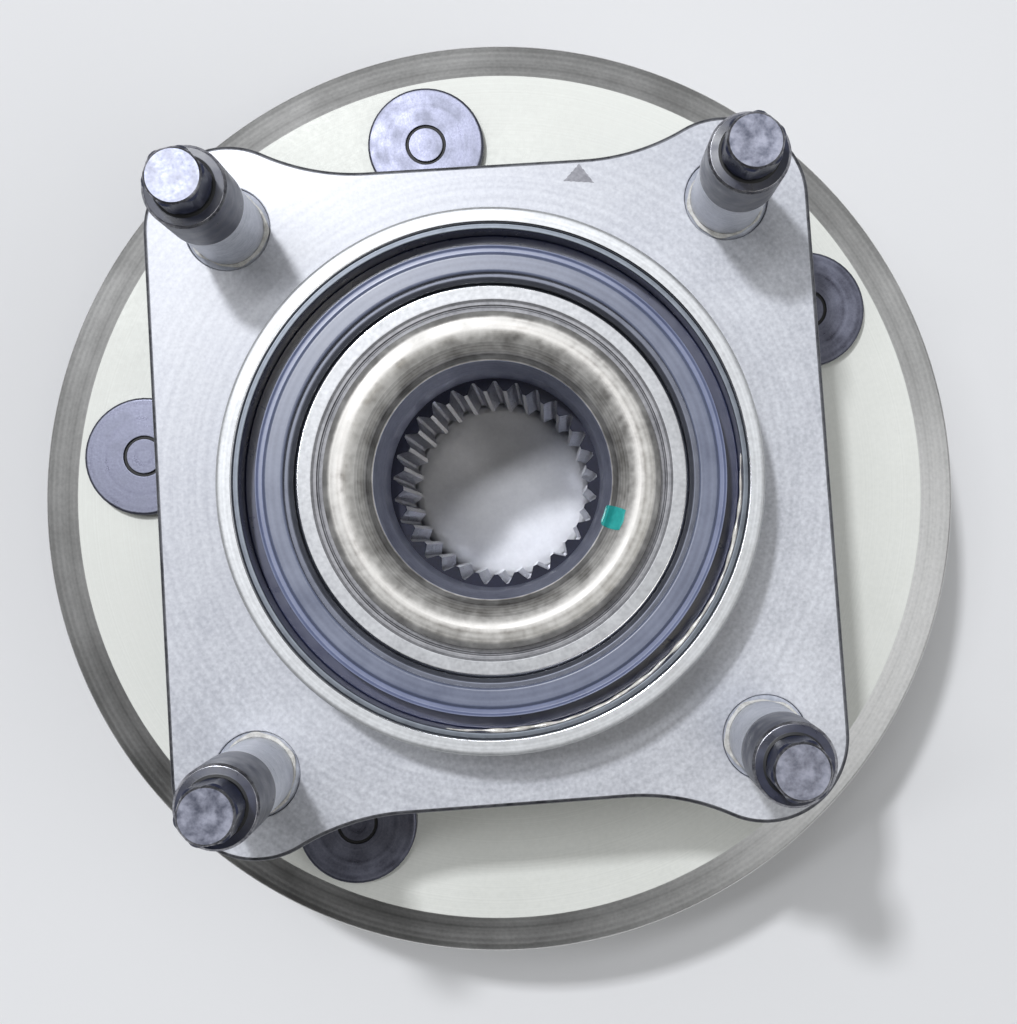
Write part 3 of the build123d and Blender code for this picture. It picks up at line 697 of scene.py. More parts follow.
class AtPlaces(Repeat):
    """Puts a copy of one mesh at each vertex of another, turned by the vertex's own angle."""

    def __init__(self, name: str, finishes: Sequence[Finish]) -> None:
        """Builds the tree."""
        super().__init__(name, finishes)
        self.number("Copy", "NodeSocketObject")
        self.number("Size")
        inputs = add(self.tree, "NodeGroupInput")
        copy = add(self.tree, "GeometryNodeObjectInfo", {"Object": inputs.outputs["Copy"]})
        turn = add(self.tree, "GeometryNodeInputNamedAttribute", {"Name": "turn"}, data_type="FLOAT")
        rotation = add(self.tree, "ShaderNodeCombineXYZ", {2: turn.outputs[0]})
        placed = add(self.tree, "GeometryNodeInstanceOnPoints", {
            "Points": inputs.outputs["Geometry"], "Instance": copy.outputs["Geometry"],
            "Rotation": rotation.outputs[0], "Scale": inputs.outputs["Size"]})
        self.close(placed.outputs[0])

    def copies(self, source: bpy.types.Mesh, places: Sequence[Pair], turns: Sequence[float]) -> bpy.types.Mesh:
        """Makes the copies.

        Args:
            source: Mesh to repeat, about the origin.
            places: Places in plan.
            turns: Angle of each copy about +Z, in radians.

        Returns:
            One mesh with all the copies.
        """
        holder = bpy.data.objects.new("copy_source", source)
        points = bpy.data.meshes.new("places")
        points.from_pydata([(x * MM, y * MM, 0.0) for x, y in places], [], [])
        points.attributes.new("turn", "FLOAT", "POINT").data.foreach_set("value", list(turns))
        made = self.run(points, Copy=holder, Size=1.0)
        bpy.data.objects.remove(holder)
        return made


class AboutAxis(Repeat):
    """Repeats a sector evenly about +Z."""

    def __init__(self, name: str, finishes: Sequence[Finish]) -> None:
        """Builds the tree."""
        super().__init__(name, finishes)
        self.number("Teeth", "NodeSocketInt")
        inputs = add(self.tree, "NodeGroupInput")
        row = add(self.tree, "GeometryNodeMeshLine", {"Count": inputs.outputs["Teeth"], "Offset": (0.0, 0.0, 0.0)})
        index = add(self.tree, "GeometryNodeInputIndex")
        step = add(self.tree, "ShaderNodeMath", {0: 2 * math.pi, 1: inputs.outputs["Teeth"]}, operation="DIVIDE")
        turned = add(self.tree, "ShaderNodeMath", {0: index.outputs[0], 1: step.outputs[0]}, operation="MULTIPLY")
        angle = add(self.tree, "ShaderNodeCombineXYZ", {2: turned.outputs[0]})
        placed = add(self.tree, "GeometryNodeInstanceOnPoints", {
            "Points": row.outputs[0], "Instance": inputs.outputs["Geometry"], "Rotation": angle.outputs[0]})
        self.close(placed.outputs[0])


def mark(mesh: bpy.types.Mesh, own_origin: float | None = None) -> bpy.types.Mesh:
    """Stores each face's zone, and each vertex's own place, as attributes that survive the repeating.

    Args:
        mesh: Mesh about its own axis, in metres.
        own_origin: Height in metres that counts as zero in the own place, or None for none.

    Returns:
        The same mesh.
    """
    zones = [0] * len(mesh.polygons)
    mesh.polygons.foreach_get("material_index", zones)
    mesh.attributes.new("zone", "INT", "FACE").data.foreach_set("value", zones)
    if own_origin is not None:
        own = mesh.attributes.new(Place.OWN.value, "FLOAT_VECTOR", "POINT")
        for i, vertex in enumerate(mesh.vertices):
            own.data[i].vector = (vertex.co.x, vertex.co.y, vertex.co.z - own_origin)
    return mesh


# --- what the frame says ------------------------------------------------------------------------------

@dataclass(frozen=True)
class Box:
    """A node's box in millimetres."""

    low: Vector
    high: Vector

    @classmethod
    def of(cls, node: str) -> "Box":
        """Box of a CAD node."""
        low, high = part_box(node)
        return cls(Vector(low) / MM, Vector(high) / MM)

    @property
    def centre(self) -> Pair:
        """Place of its vertical axis."""
        return (self.low.x + self.high.x) / 2, (self.low.y + self.high.y) / 2

    @property
    def radius(self) -> float:
        """Half of its width."""
        return (self.high.x - self.low.x) / 2


def named(prefix: str) -> list[str]:
    """CAD nodes whose names start alike, in order."""
    return [n for n in sorted(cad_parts) if n.startswith(prefix)]


OUTER, HUB, INNER = Box.of("outer_ring"), Box.of("hub_spindle"), Box.of("inner_ring")
WHEEL_STUDS, KNUCKLE_STUDS = ([Box.of(n).centre for n in named(p)] for p in ("wheel_stud_", "knuckle_stud_"))
BALL_R = Box.of("ball_inboard_01").radius
PITCH_R = Vector(Box.of("ball_inboard_01").centre).length
ROWS = {name: (Box.of(f"ball_{name}_01").low.z + BALL_R) for name in ("outboard", "inboard")}
RACE_R = 1.04 * BALL_R     # raceway radius
RACE_SHIFT = (0.155, 0.113)   # offset of a raceway's centre from the pitch circle, radially and along the axis
STUD_REACH, STUD_HEAD_T = 34.0, 2.61   # wheel stud beyond the flange, and its head with the gap under it
SPIGOT_H, PLATE_T = 15.1, 13.0
GAP = 0.01                 # clearance between pieces that touch
WHEEL_FACE_Z = Box.of("wheel_stud_1").low.z + STUD_REACH
FLANGE_BACK_Z = Box.of("wheel_stud_1").high.z - STUD_HEAD_T
PLATE_TOP_Z = OUTER.high.z - SPIGOT_H


def raceway(row: str, out: int, turn: int, shoulders: Pair, zone: int) -> list[Corner]:
    """Arc of a raceway between its two shoulders.

    Args:
        row: Name of the row of balls.
        out: 1 in the outer ring, -1 on the spindle or the inner ring.
        turn: 1 where the arc runs counter-clockwise in the section, -1 where it runs clockwise.
        shoulders: Radius of the shoulder where it starts and of the one where it ends.
        zone: Zone of the arc.

    Returns:
        Corners of the arc.
    """
    along = out if row == "inboard" else -out
    centre = (PITCH_R - out * RACE_SHIFT[0], ROWS[row] + along * RACE_SHIFT[1])
    start, end = (math.degrees(math.acos(out * (r - centre[0]) / RACE_R)) for r in shoulders)
    middle = 0 if out > 0 else 180
    return arc(centre, RACE_R, middle - turn * start, middle + turn * end, RACE_STEPS, zone)


# --- the fixed ring -----------------------------------------------------------------------------------

@dataclass
class KnuckleRing:
    """Outer ring with its knuckle plate, raceways, seal pockets and spigot.

    Attributes:
        lobe: Radius of the corner lobes, centred on the knuckle studs.
        waist_dip: Depth of the concave top and bottom sides.
        blend: Radius between lobe and waist.
        edge: Rounded edge of the plate.
        body: Radius of the body round the outboard seal.
        fillet: Fillet from body to plate.
        spigot: Radius of the spigot.
        pocket: Radius of the seal pockets.
        pocket_depth: Depth of the seal pockets.
        high: Radius of the middle land between the raceways.
        low: Radius of the raceways' low shoulders.
        hole: Radius of the pressed stud holes.
        strip: Width of the strip that the rim's mesh takes from the flat faces.
        steps: Points along a quarter of the rim: on its straight side, lobe, blend and waist.
    """

    lobe: float = 11.7
    waist_dip: float = 4.85
    blend: float = 31.0
    edge: float = 0.55
    body: float = 38.5
    fillet: float = 4.0
    spigot: float = 35.95
    pocket: float = 33.8
    pocket_depth: float = 7.2
    high: float = 29.4
    low: float = 32.3
    hole: float = 5.91
    strip: float = 2.0
    steps: tuple[int, int, int, int] = (8, 28, 16, 5)

    def rim(self, inset: float, z: float) -> list[Point]:
        """Points of the plate's outline.

        Args:
            inset: Distance inside the true outline.
            z: Height of the points.

        Returns:
            A closed loop, counter-clockwise.
        """
        lobe_x, lobe_y = max(p[0] for p in KNUCKLE_STUDS), max(p[1] for p in KNUCKLE_STUDS)
        waist_y = lobe_y + self.lobe - self.waist_dip
        blend_y = waist_y + self.blend
        blend_x = lobe_x - math.sqrt((self.blend + self.lobe) ** 2 - (blend_y - lobe_y) ** 2)
        tilt = math.atan2(blend_y - lobe_y, blend_x - lobe_x)
        straight, lobe, blend, waist = self.steps
        quarter = [(lobe_x + self.lobe, lobe_y * i / straight, 1.0, 0.0) for i in range(straight)]
        for i in range(lobe):
            a = tilt * i / lobe
            quarter.append((lobe_x + self.lobe * math.cos(a), lobe_y + self.lobe * math.sin(a),
                            math.cos(a), math.sin(a)))
        for i in range(blend):
            a = tilt + math.pi + (1.5 * math.pi - tilt - math.pi) * i / blend
            quarter.append((blend_x + self.blend * math.cos(a), blend_y + self.blend * math.sin(a),
                            -math.cos(a), -math.sin(a)))
        quarter += [(blend_x * (1 - i / waist), waist_y, 0.0, 1.0) for i in range(waist)]
        first = [(x - inset * nx, y - inset * ny, z) for x, y, nx, ny in quarter]
        top = (0.0, waist_y - inset, z)
        half = first + [top] + [(-x, y, z) for x, y, _ in reversed(first)]
        return half + [(x, -y, z) for x, y, _ in reversed(half[1:-1])]

    def build(self) -> bpy.types.Object:
        """Builds the ring."""
        piece = Piece("knuckle_ring", (PLATE_STEEL, SPIGOT_STEEL, FORGED_STEEL, RACEWAY_STEEL))
        top, under = PLATE_TOP_Z, PLATE_TOP_Z - PLATE_T
        wall = outline([(-self.strip, under, 0, 0), (0, under, self.edge, 2), (0, top, self.edge, 0),
                        (-self.strip, top)], False)
        piece.join([self.rim(-r, z) for r, z, _ in wall], [p[2] for p in wall])
        foot, skirt = self.spigot + 0.5, self.body + self.fillet + 0.3
        for z, radius in ((top, foot), (under, skirt)):
            piece.fill([self.rim(self.strip, z), circle(radius, z, TURNED_COUNT),
                        *mouths(KNUCKLE_STUDS, self.hole, z)], 0)
        piece.bore(KNUCKLE_STUDS, self.hole, (top, under), 0.15, 0)
        low, high = OUTER.low.z, OUTER.high.z
        piece.turn([
            (skirt, under, 0, 2), (self.body, under, self.fillet, 2), (self.body, low, 0.8, 1),
            (self.pocket, low, 0.5, 3), (self.pocket, low + self.pocket_depth, 0.3, 3),
            (self.low, low + self.pocket_depth, 0.3, 3), *raceway("outboard", 1, 1, (self.low, self.high), 3),
            *raceway("inboard", 1, 1, (self.high, self.low), 3), (self.low, high - self.pocket_depth, 0.3, 3),
            (self.pocket, high - self.pocket_depth, 0.3, 3), (self.pocket, high, 0.25, 1),
            (self.spigot, high, 0.45, 1), (self.spigot, top, 0.25, 0), (foot, top, 0, 0)], False)
        return piece.build("outer_ring", "ring_steel", "outer_ring")


# --- the turning hub ----------------------------------------------------------------------------------

@dataclass
class Spline:
    """The broached bore, one tooth space repeated about the axis.

    Attributes:
        teeth: Number of teeth.
        tip: Radius of the tooth lands.
        root: Radius of the groove roots.
        land: Width of a tooth land.
        root_land: Width of a groove's root.
        lead: Tapered lead at the top.
        counterbore: Radius of the counterbore above.
        seat: Radius of the plain bore below.
        top: Height of the top of the teeth.
        bottom: Height of their lower end.
        finishes: Finish of the end faces, of the flanks and roots, and of the lands.
    """

    teeth: int = 29
    tip: float = 12.85
    root: float = 14.2
    land: float = 0.55
    root_land: float = 0.4
    lead: float = 0.12
    counterbore: float = 14.6
    seat: float = 14.4
    top: float = 86.0
    bottom: float = 46.0
    # Lands and flanks are one steel: the flanks are painted as shade and the lands as a highlight.
    finishes: tuple[Finish, ...] = (TOOTH_END, SPLINE_FLANK_SHADE, LAND_HIGHLIGHT)

    def mesh(self) -> bpy.types.Mesh:
        """Mesh of all the teeth, with zones 0 for the dark end faces, 1 for the flanks and 2 for the lands."""
        step = math.pi / self.teeth
        half_space = step - self.land / 2 / self.tip
        half_root = self.root_land / 2 / self.root
        middle = ((self.tip + self.root) / 2, (half_space + half_root) / 2)
        side = [(self.tip, step), (self.tip, half_space), middle, (self.root, half_root)]
        profile = [(r, -a) for r, a in side] + [(self.root, 0.0)] + [(r, a) for r, a in reversed(side)]
        count = len(profile)
        level = [step * (2 * k / (count - 1) - 1) for k in range(count)]
        angles = [a for _, a in profile]
        radii = [r for r, _ in profile]
        wide = [max(r, self.tip + self.lead) for r in radii]
        middle_z = (self.top + self.bottom) / 2
        rows = [([self.counterbore] * count, level, self.top), (wide, angles, self.top),
                (radii, angles, self.top - self.lead), (radii, angles, middle_z), (radii, angles, self.bottom),
                ([self.seat] * count, level, self.bottom)]
        sector = Piece("spline_sector", ())
        sector.join([[(r * math.cos(a), r * math.sin(a), z) for r, a in zip(rs, turned)] for rs, turned, z in rows],
                    (0, 0, 1, 1, 0, 0), rings=False)
        for number, zone in enumerate(sector.zones):
            if zone == 1 and number % (count - 1) in (0, count - 2):
                sector.zones[number] = 2
        return AboutAxis("spline_teeth", self.finishes).run(mark(sector.raw()), Teeth=self.teeth)


@dataclass
class Spindle:
    """Flanged spindle: wheel flange, pilot, raceway, ring seat, formed collar and splined bore.

    Attributes:
        spline: The broached bore.
        bevel: Width and drop of the bevel round the back of the flange.
        foot: Radius of the raised foot behind the flange.
        foot_rise: Height of the foot.
        land: Radius of the outboard seal's land.
        high: Radius of the raceway's high shoulder.
        low: Radius of its low shoulder.
        seat: Radius of the ring seat.
        ring_top: Height of the inner ring's face.
        lip: Radius of the lip where the counterbore meets the collar.
        rim: Outer radius of the collar.
        pilot: Radius of the wheel pilot.
        pilot_wall: Wall of the pilot.
        relief: Width and depth of the undercut at its foot.
        pocket_z: Height of the pocket's floor.
        hole: Radius of the pressed stud holes.
    """

    spline: Spline = field(default_factory=Spline)
    bevel: Pair = (5.6, 2.2)
    foot: float = 36.0
    foot_rise: float = 4.0
    land: float = 29.0
    high: float = 26.15
    low: float = 24.2
    seat: float = 19.0
    ring_top: float = 99.7
    lip: float = 15.95
    rim: float = 22.25
    pilot: float = 33.5
    pilot_wall: float = 6.5
    relief: Pair = (2.5, 1.2)
    pocket_z: float = 36.0
    hole: float = 6.46

    def collar(self) -> list[Corner]:
        """Counterbore, mouth and rolled collar, from the top of the spline to the ring seat."""
        face, crest = self.ring_top, HUB.high.z
        lip, outer = self.lip, self.rim
        return [
            (self.spline.counterbore, self.spline.top, 0.15, 3), (lip - 1.1, face - 6.0, 4.0, 3),
            (lip - 0.12, face - 0.9, 0.1, 2), (lip + 0.08, face - 0.82, 0.1, 2), (lip + 0.8, face + 0.9, 1.5, 2),
            (lip + 2.2, crest - 0.5, 2.0, 2),
            (lip + 3.2, crest - 0.06, 4.0, 2), (lip + 4.2, crest, 4.0, 2), (outer - 0.75, crest - 0.2, 0.5, 2),
            (outer, crest - 0.9, 0.5, 2), (outer + 0.05, face, 0.0, 2), (self.seat + 0.6, face, 0.1, 2),
            (self.seat, face - 0.6, 0.2, 4)]

    def build(self) -> bpy.types.Object:
        """Builds the spindle."""
        piece = Piece("flanged_spindle", (FLANGE_STEEL, BEVEL_STEEL, COLLAR_STEEL, BORE_STEEL, SPIGOT_STEEL,
                                          RACEWAY_STEEL, *self.spline.finishes))
        back, face, rim = FLANGE_BACK_Z, WHEEL_FACE_Z, HUB.high.x
        inside, edge = self.foot + 3.0, rim - self.bevel[0] - 1.0
        relief_r, wheel_edge = self.pilot + self.relief[0] + 1.0, rim - 2.0
        for z, outer, inner, zone in ((back, edge, inside, 0), (face, wheel_edge, relief_r, 4)):
            piece.fill([circle(outer, z, TURNED_COUNT), circle(inner, z, TURNED_COUNT),
                        *mouths(WHEEL_STUDS, self.hole, z)], zone)
        piece.bore(WHEEL_STUDS, self.hole, (back, face), 0.2, 4)
        ring_foot = INNER.low.z - GAP
        piece.turn([
            *self.collar(), (self.seat, ring_foot, 0.4, 4), (self.low, ring_foot, 0.4, 5),
            *raceway("outboard", -1, 1, (self.low, self.high), 5),
            (self.high, ROWS["outboard"] - BALL_R - 0.4, 0.4, 5), (self.land, ROWS["outboard"] - BALL_R - 1.8, 0.4, 4),
            (self.land, back + self.foot_rise, 0.6, 4), (self.foot, back + self.foot_rise, 0.5, 4),
            (self.foot, back, 1.6, 0), (inside, back)], False)
        piece.turn([
            (edge, back, 0, 0), (rim - self.bevel[0], back, 0.25, 1), (rim, back - self.bevel[1], 0.5, 1),
            (rim, face, 0.7, 4), (wheel_edge, face)], False)
        end = HUB.low.z
        inner = self.pilot - self.pilot_wall
        piece.turn([
            (relief_r, face, 0, 4), (relief_r - 1.0, face, 0.25, 4), (relief_r - 1.0, face + self.relief[1], 0.5, 4),
            (self.pilot, face + self.relief[1], 0.5, 4), (self.pilot, end + 1.5, 0.4, 4),
            (self.pilot - 0.75, end, 0.3, 4), (inner, end, 0.6, 2), (inner, self.pocket_z, 1.2, 4),
            (self.spline.seat, self.pocket_z, 0.3, 4), (self.spline.seat, self.spline.bottom, 0, 4)], False)
        piece.take(self.spline.mesh(), 6)
        return piece.build("hub", "flange_steel", "hub_spindle")


# --- inner ring and seals -----------------------------------------------------------------------------

@dataclass
class InnerRing:
    """Pressed-on inner ring with the inboard raceway.

    Attributes:
        seat: Radius of the bore.
        low: Radius of the raceway's low shoulder.
        high: Radius of its high shoulder.
        groove: Inner radius, outer radius and depth of the groove in its face.
        step: Depth of the turned relief inside the face.
    """

    seat: float = 19.01
    low: float = 24.2
    high: float = 26.15
    groove: tuple[float, float, float] = (22.7, 23.5, 0.5)
    step: float = 0.2

    def build(self) -> bpy.types.Object:
        """Builds the ring."""
        piece = Piece("inner_race_ring", (RING_FACE_STEEL, RACEWAY_STEEL, SPIGOT_STEEL, RELIEF_STEEL))
        bottom, top = INNER.low.z, INNER.high.z
        inner, outer, depth = self.groove
        step = top - self.step
        piece.turn([
            (self.seat, bottom, 0.3, 2), (self.low, bottom, 0.5, 1),
            *raceway("inboard", -1, -1, (self.low, self.high), 1),
            (self.high, top, 0.45, 0), (outer + 0.5, top, 0.1, 3), (outer + 0.15, step, 0.06, 3),
            (outer - 0.25, step, 0.06, 3), (outer - 0.35, top - depth, 0.06, 3), (inner + 0.3, top - depth, 0.06, 3),
            (inner + 0.2, step, 0.06, 3), (self.seat, step, 0.3, 2)])
        return piece.build("hub", "bearing_steel", "inner_ring")


@dataclass
class CassetteSeal:
    """Knuckle-end seal: pressed case, rubber lips, slinger and magnetic encoder.

    Attributes:
        sheet: Thickness of the pressed sheet.
        rubber: Thickness of the lips.
        bend: Outer radius of the drawn corners.
        line: Radius, width and depth of the step that parts the encoder's two bands.
    """

    sheet: float = 0.8
    rubber: float = 0.5
    bend: float = 1.1
    line: tuple[float, float, float] = (29.65, 0.4, 0.85)

    def build(self) -> list[bpy.types.Object]:
        """Builds the four pieces."""
        case, ring = Box.of("seal_case_inboard"), Box.of("encoder_ring")
        slinger = Box.of("slinger")
        wall, floor, shoulder = case.radius - self.sheet, case.low.z, INNER.radius + GAP
        hole, under = INNER.radius + 2.45, ring.low.z - self.sheet
        tip, web = slinger.radius, floor + self.sheet + GAP
        shell = Piece("seal_case_knuckle_end", (SHEET_STEEL, LIP_RUBBER))
        shell.turn([(hole, floor, 0.15), (case.radius, floor, self.bend), (case.radius, case.high.z, 0.15),
                    (wall, case.high.z, 0.15, 1), (wall, floor + self.sheet, 0.5), (hole, floor + self.sheet, 0.15)])
        lips = Piece("seal_lips_knuckle_end", (LIP_RUBBER,))
        root, wipe, rub = hole + self.sheet, shoulder + self.sheet + 0.06, self.rubber
        lips.turn([(wipe, web + rub, 0.1), (hole - GAP, floor, 0.2), (hole - GAP, web, 0), (wall - 0.05, web, 0.1),
                   (wall - 0.05, web + rub, 0.1), (root + 2 * rub, web + rub, 0.3), (tip - rub, under - 0.35, 0.1),
                   (tip - 2 * rub, under - 0.35, 0.1), (root, web + rub, 0.2), (hole, web + 2 * rub, 0.2),
                   (wipe, web + 3 * rub, 0.1)])
        disc = Piece("slinger_ring", (SLINGER_SHEET,))
        disc.turn([(shoulder, web, 0.1), (shoulder + self.sheet, web, 0.1), (shoulder + self.sheet, under, 0.2),
                   (tip, under, 0.2), (tip, ring.low.z - GAP, 0.15), (shoulder + rub, ring.low.z - GAP, 0.25),
                   (shoulder, ring.low.z - rub, 0.3)])
        # Both encoder bands carry a painted reflection: their colour is lighter than the blue-black rubber.
        face = Piece("magnetic_encoder", (ENCODER_RUBBER_PAINTED_SHEEN, ENCODER_INNER_PAINTED_SHEEN))
        inner, (radius, width, depth) = shoulder + 1.14, self.line
        low = ring.high.z - depth
        face.turn([(inner, ring.low.z, 0.1, 0), (ring.radius, ring.low.z, 0.15, 0), (ring.radius, low + 0.3, 0.12, 0),
                   (ring.radius - 0.15, low + 0.3, 0.08, 0), (ring.radius - 0.4, low, 0.1, 0),
                   (radius + width, low, 0.1, 1), (radius, ring.high.z, 0.2, 1), (inner, ring.high.z, 0.3, 1)])
        return [shell.build("outer_ring", "stainless_sheet", "seal_case_inboard"),
                lips.build("outer_ring", "seal_rubber", "seal_lips_inboard"),
                disc.build("hub", "stainless_sheet", "slinger"),
                face.build("hub", "encoder_rubber", "encoder_ring")]


@dataclass
class WheelEndSeal:
    """Wheel-end seal: pressed case and rubber lips that wipe the spindle.

    Attributes:
        sheet: Thickness of the pressed sheet.
        rubber: Thickness of the lips.
        land: Radius of the spindle's land.
        foot_z: Height of the foot that the axial lip points at.
    """

    sheet: float = 0.8
    rubber: float = 0.5
    land: float = 29.0
    foot_z: float = 50.0

    def build(self) -> list[bpy.types.Object]:
        """Builds both pieces."""
        case = Box.of("seal_case_outboard")
        wall, hole, wipe = case.radius - self.sheet, self.land + 2 * self.sheet, self.land + 0.06
        web, top = case.low.z, case.high.z
        shell = Piece("seal_case_wheel_end", (SHEET_STEEL,))
        shell.turn([(hole, web, 0.15), (case.radius, web, 1.1), (case.radius, top, 0.22), (wall, top, 0.22),
                    (wall, web + self.sheet, 0.5), (hole, web + self.sheet, 0.15)])
        skin, low, rub = web - GAP, web - GAP - self.rubber, self.rubber
        lips = Piece("seal_lips_wheel_end", (LIP_RUBBER,))
        lips.turn([(wipe, low, 0.1), (hole, low - rub, 0.2), (wall - rub, self.foot_z + 0.35, 0.1),
                   (wall, self.foot_z + 0.35, 0.1), (hole + 2 * rub, low, 0.2), (wall, low, 0.1), (wall, skin, 0.1),
                   (hole - GAP, skin, 0), (hole - GAP, web + self.sheet, 0.15), (wipe, skin, 0.1)])
        return [shell.build("outer_ring", "stainless_sheet", "seal_case_outboard"),
                lips.build("outer_ring", "seal_rubber", "seal_lips_outboard")]


@dataclass
class BallRows:
    """Balls and cages, whose solids are right as they are and only get their finish."""

    def dress(self) -> None:
        """Gives the CAD nodes their materials."""
        for prefix, finish, smooth in (("ball_", BALL_STEEL, True), ("cage_", CAGE_POLYAMIDE, False)):
            for name in named(prefix):
                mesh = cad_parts[name].data
                mesh.materials.clear()
                mesh.materials.append(finish.material())
                for polygon in mesh.polygons:
                    polygon.use_smooth = smooth
        log.info("balls and cages: dressed")


# --- studs and cap ------------------------------------------------------------------------------------

@dataclass
class WheelStuds:
    """The five pressed wheel studs, made once and repeated.

    Attributes:
        shank: Radius of the thread's crests and of the bare shank.
        tip: Radius of the tip.
        pitch: Thread pitch.
        depth: Depth of the thread.
        thread_top: Height where the thread fades out.
        runout: Length over which it fades.
        chamfer: Length of the tapered tip.
        knurl: Radius of the knurl.
        head: Radius of the head.
        button: Radius of the raised button on the head.
        groove: Width and depth of the ring round it.
    """

    shank: float = 6.0
    tip: float = 4.5
    pitch: float = 1.5
    depth: float = 0.86
    thread_top: float = 28.0
    runout: float = 3.0
    chamfer: float = 1.6
    knurl: float = 6.45
    head: float = 9.35
    button: float = 2.8
    groove: Pair = (0.42, 0.45)

    def crest(self, z: float, share: float) -> float:
        """Radius of the thread.

        Args:
            z: Height.
            share: Share of a turn.

        Returns:
            The radius there.
        """
        phase = abs((z / self.pitch - share) % 1.0 - 0.5) * 2
        tooth = min(1.0, max(0.0, (phase - 0.25) / 0.625))
        fade = min(1.0, max(0.0, (self.thread_top - z) / self.runout))
        taper = self.tip + min(z, self.chamfer) / self.chamfer * (self.shank - self.tip)
        return min(taper, self.shank - self.depth * (1 - tooth) * fade)

    def mesh(self) -> bpy.types.Mesh:
        """Mesh of one stud about its own axis."""
        stud = Piece("wheel_stud", ())
        rows = int(self.thread_top / (self.pitch / 10))
        count = 48
        middle = circle(0.02, 0.0, count)
        loops = [middle, circle(2.0, 0.0, count)]
        for j in range(rows + 1):
            z = j * self.thread_top / rows
            around = ((self.crest(z, k / count), 2 * math.pi * k / count) for k in range(count))
            loops.append([(r * math.cos(a), r * math.sin(a), z) for r, a in around])
        stud.join(loops, [1] * len(loops))
        stud.fill([middle], 1)
        back = FLANGE_BACK_Z + GAP
        top, (width, cut) = Box.of("wheel_stud_1").high.z, self.groove
        stud.turn([
            (self.shank, self.thread_top, 0, 1), (self.shank, WHEEL_FACE_Z, 0.2, 1),
            (self.knurl, WHEEL_FACE_Z + 0.6, 0.2, 1), (self.knurl, back, 0, 1), (self.head, back, 0.15, 0),
            (self.head, top, 0.38, 0), (self.button + width, top, 0.08, 2), (self.button + width, top - cut, 0, 2),
            (self.button, top - cut, 0, 2), (self.button, top, 0.1, 0), (0.4, top, 0, 0)], False, count)
        stud.fill([circle(0.4, top, count)], 0)
        return mark(stud.mesh(), 0.0)

    def build(self) -> bpy.types.Object:
        """Repeats the stud at its places."""
        # Zone 2, the ring round the head's button, is painted shade.
        finishes = (HEAD_OXIDE, THREAD_OXIDE, RECESS_PAINTED_SHADE)
        turns = [math.atan2(y, x) for x, y in WHEEL_STUDS]
        made = AtPlaces("wheel_stud_places", finishes).copies(self.mesh(), WHEEL_STUDS, turns)
        return place_object("wheel_studs", made, "hub", "stud_steel", *named("wheel_stud_"))


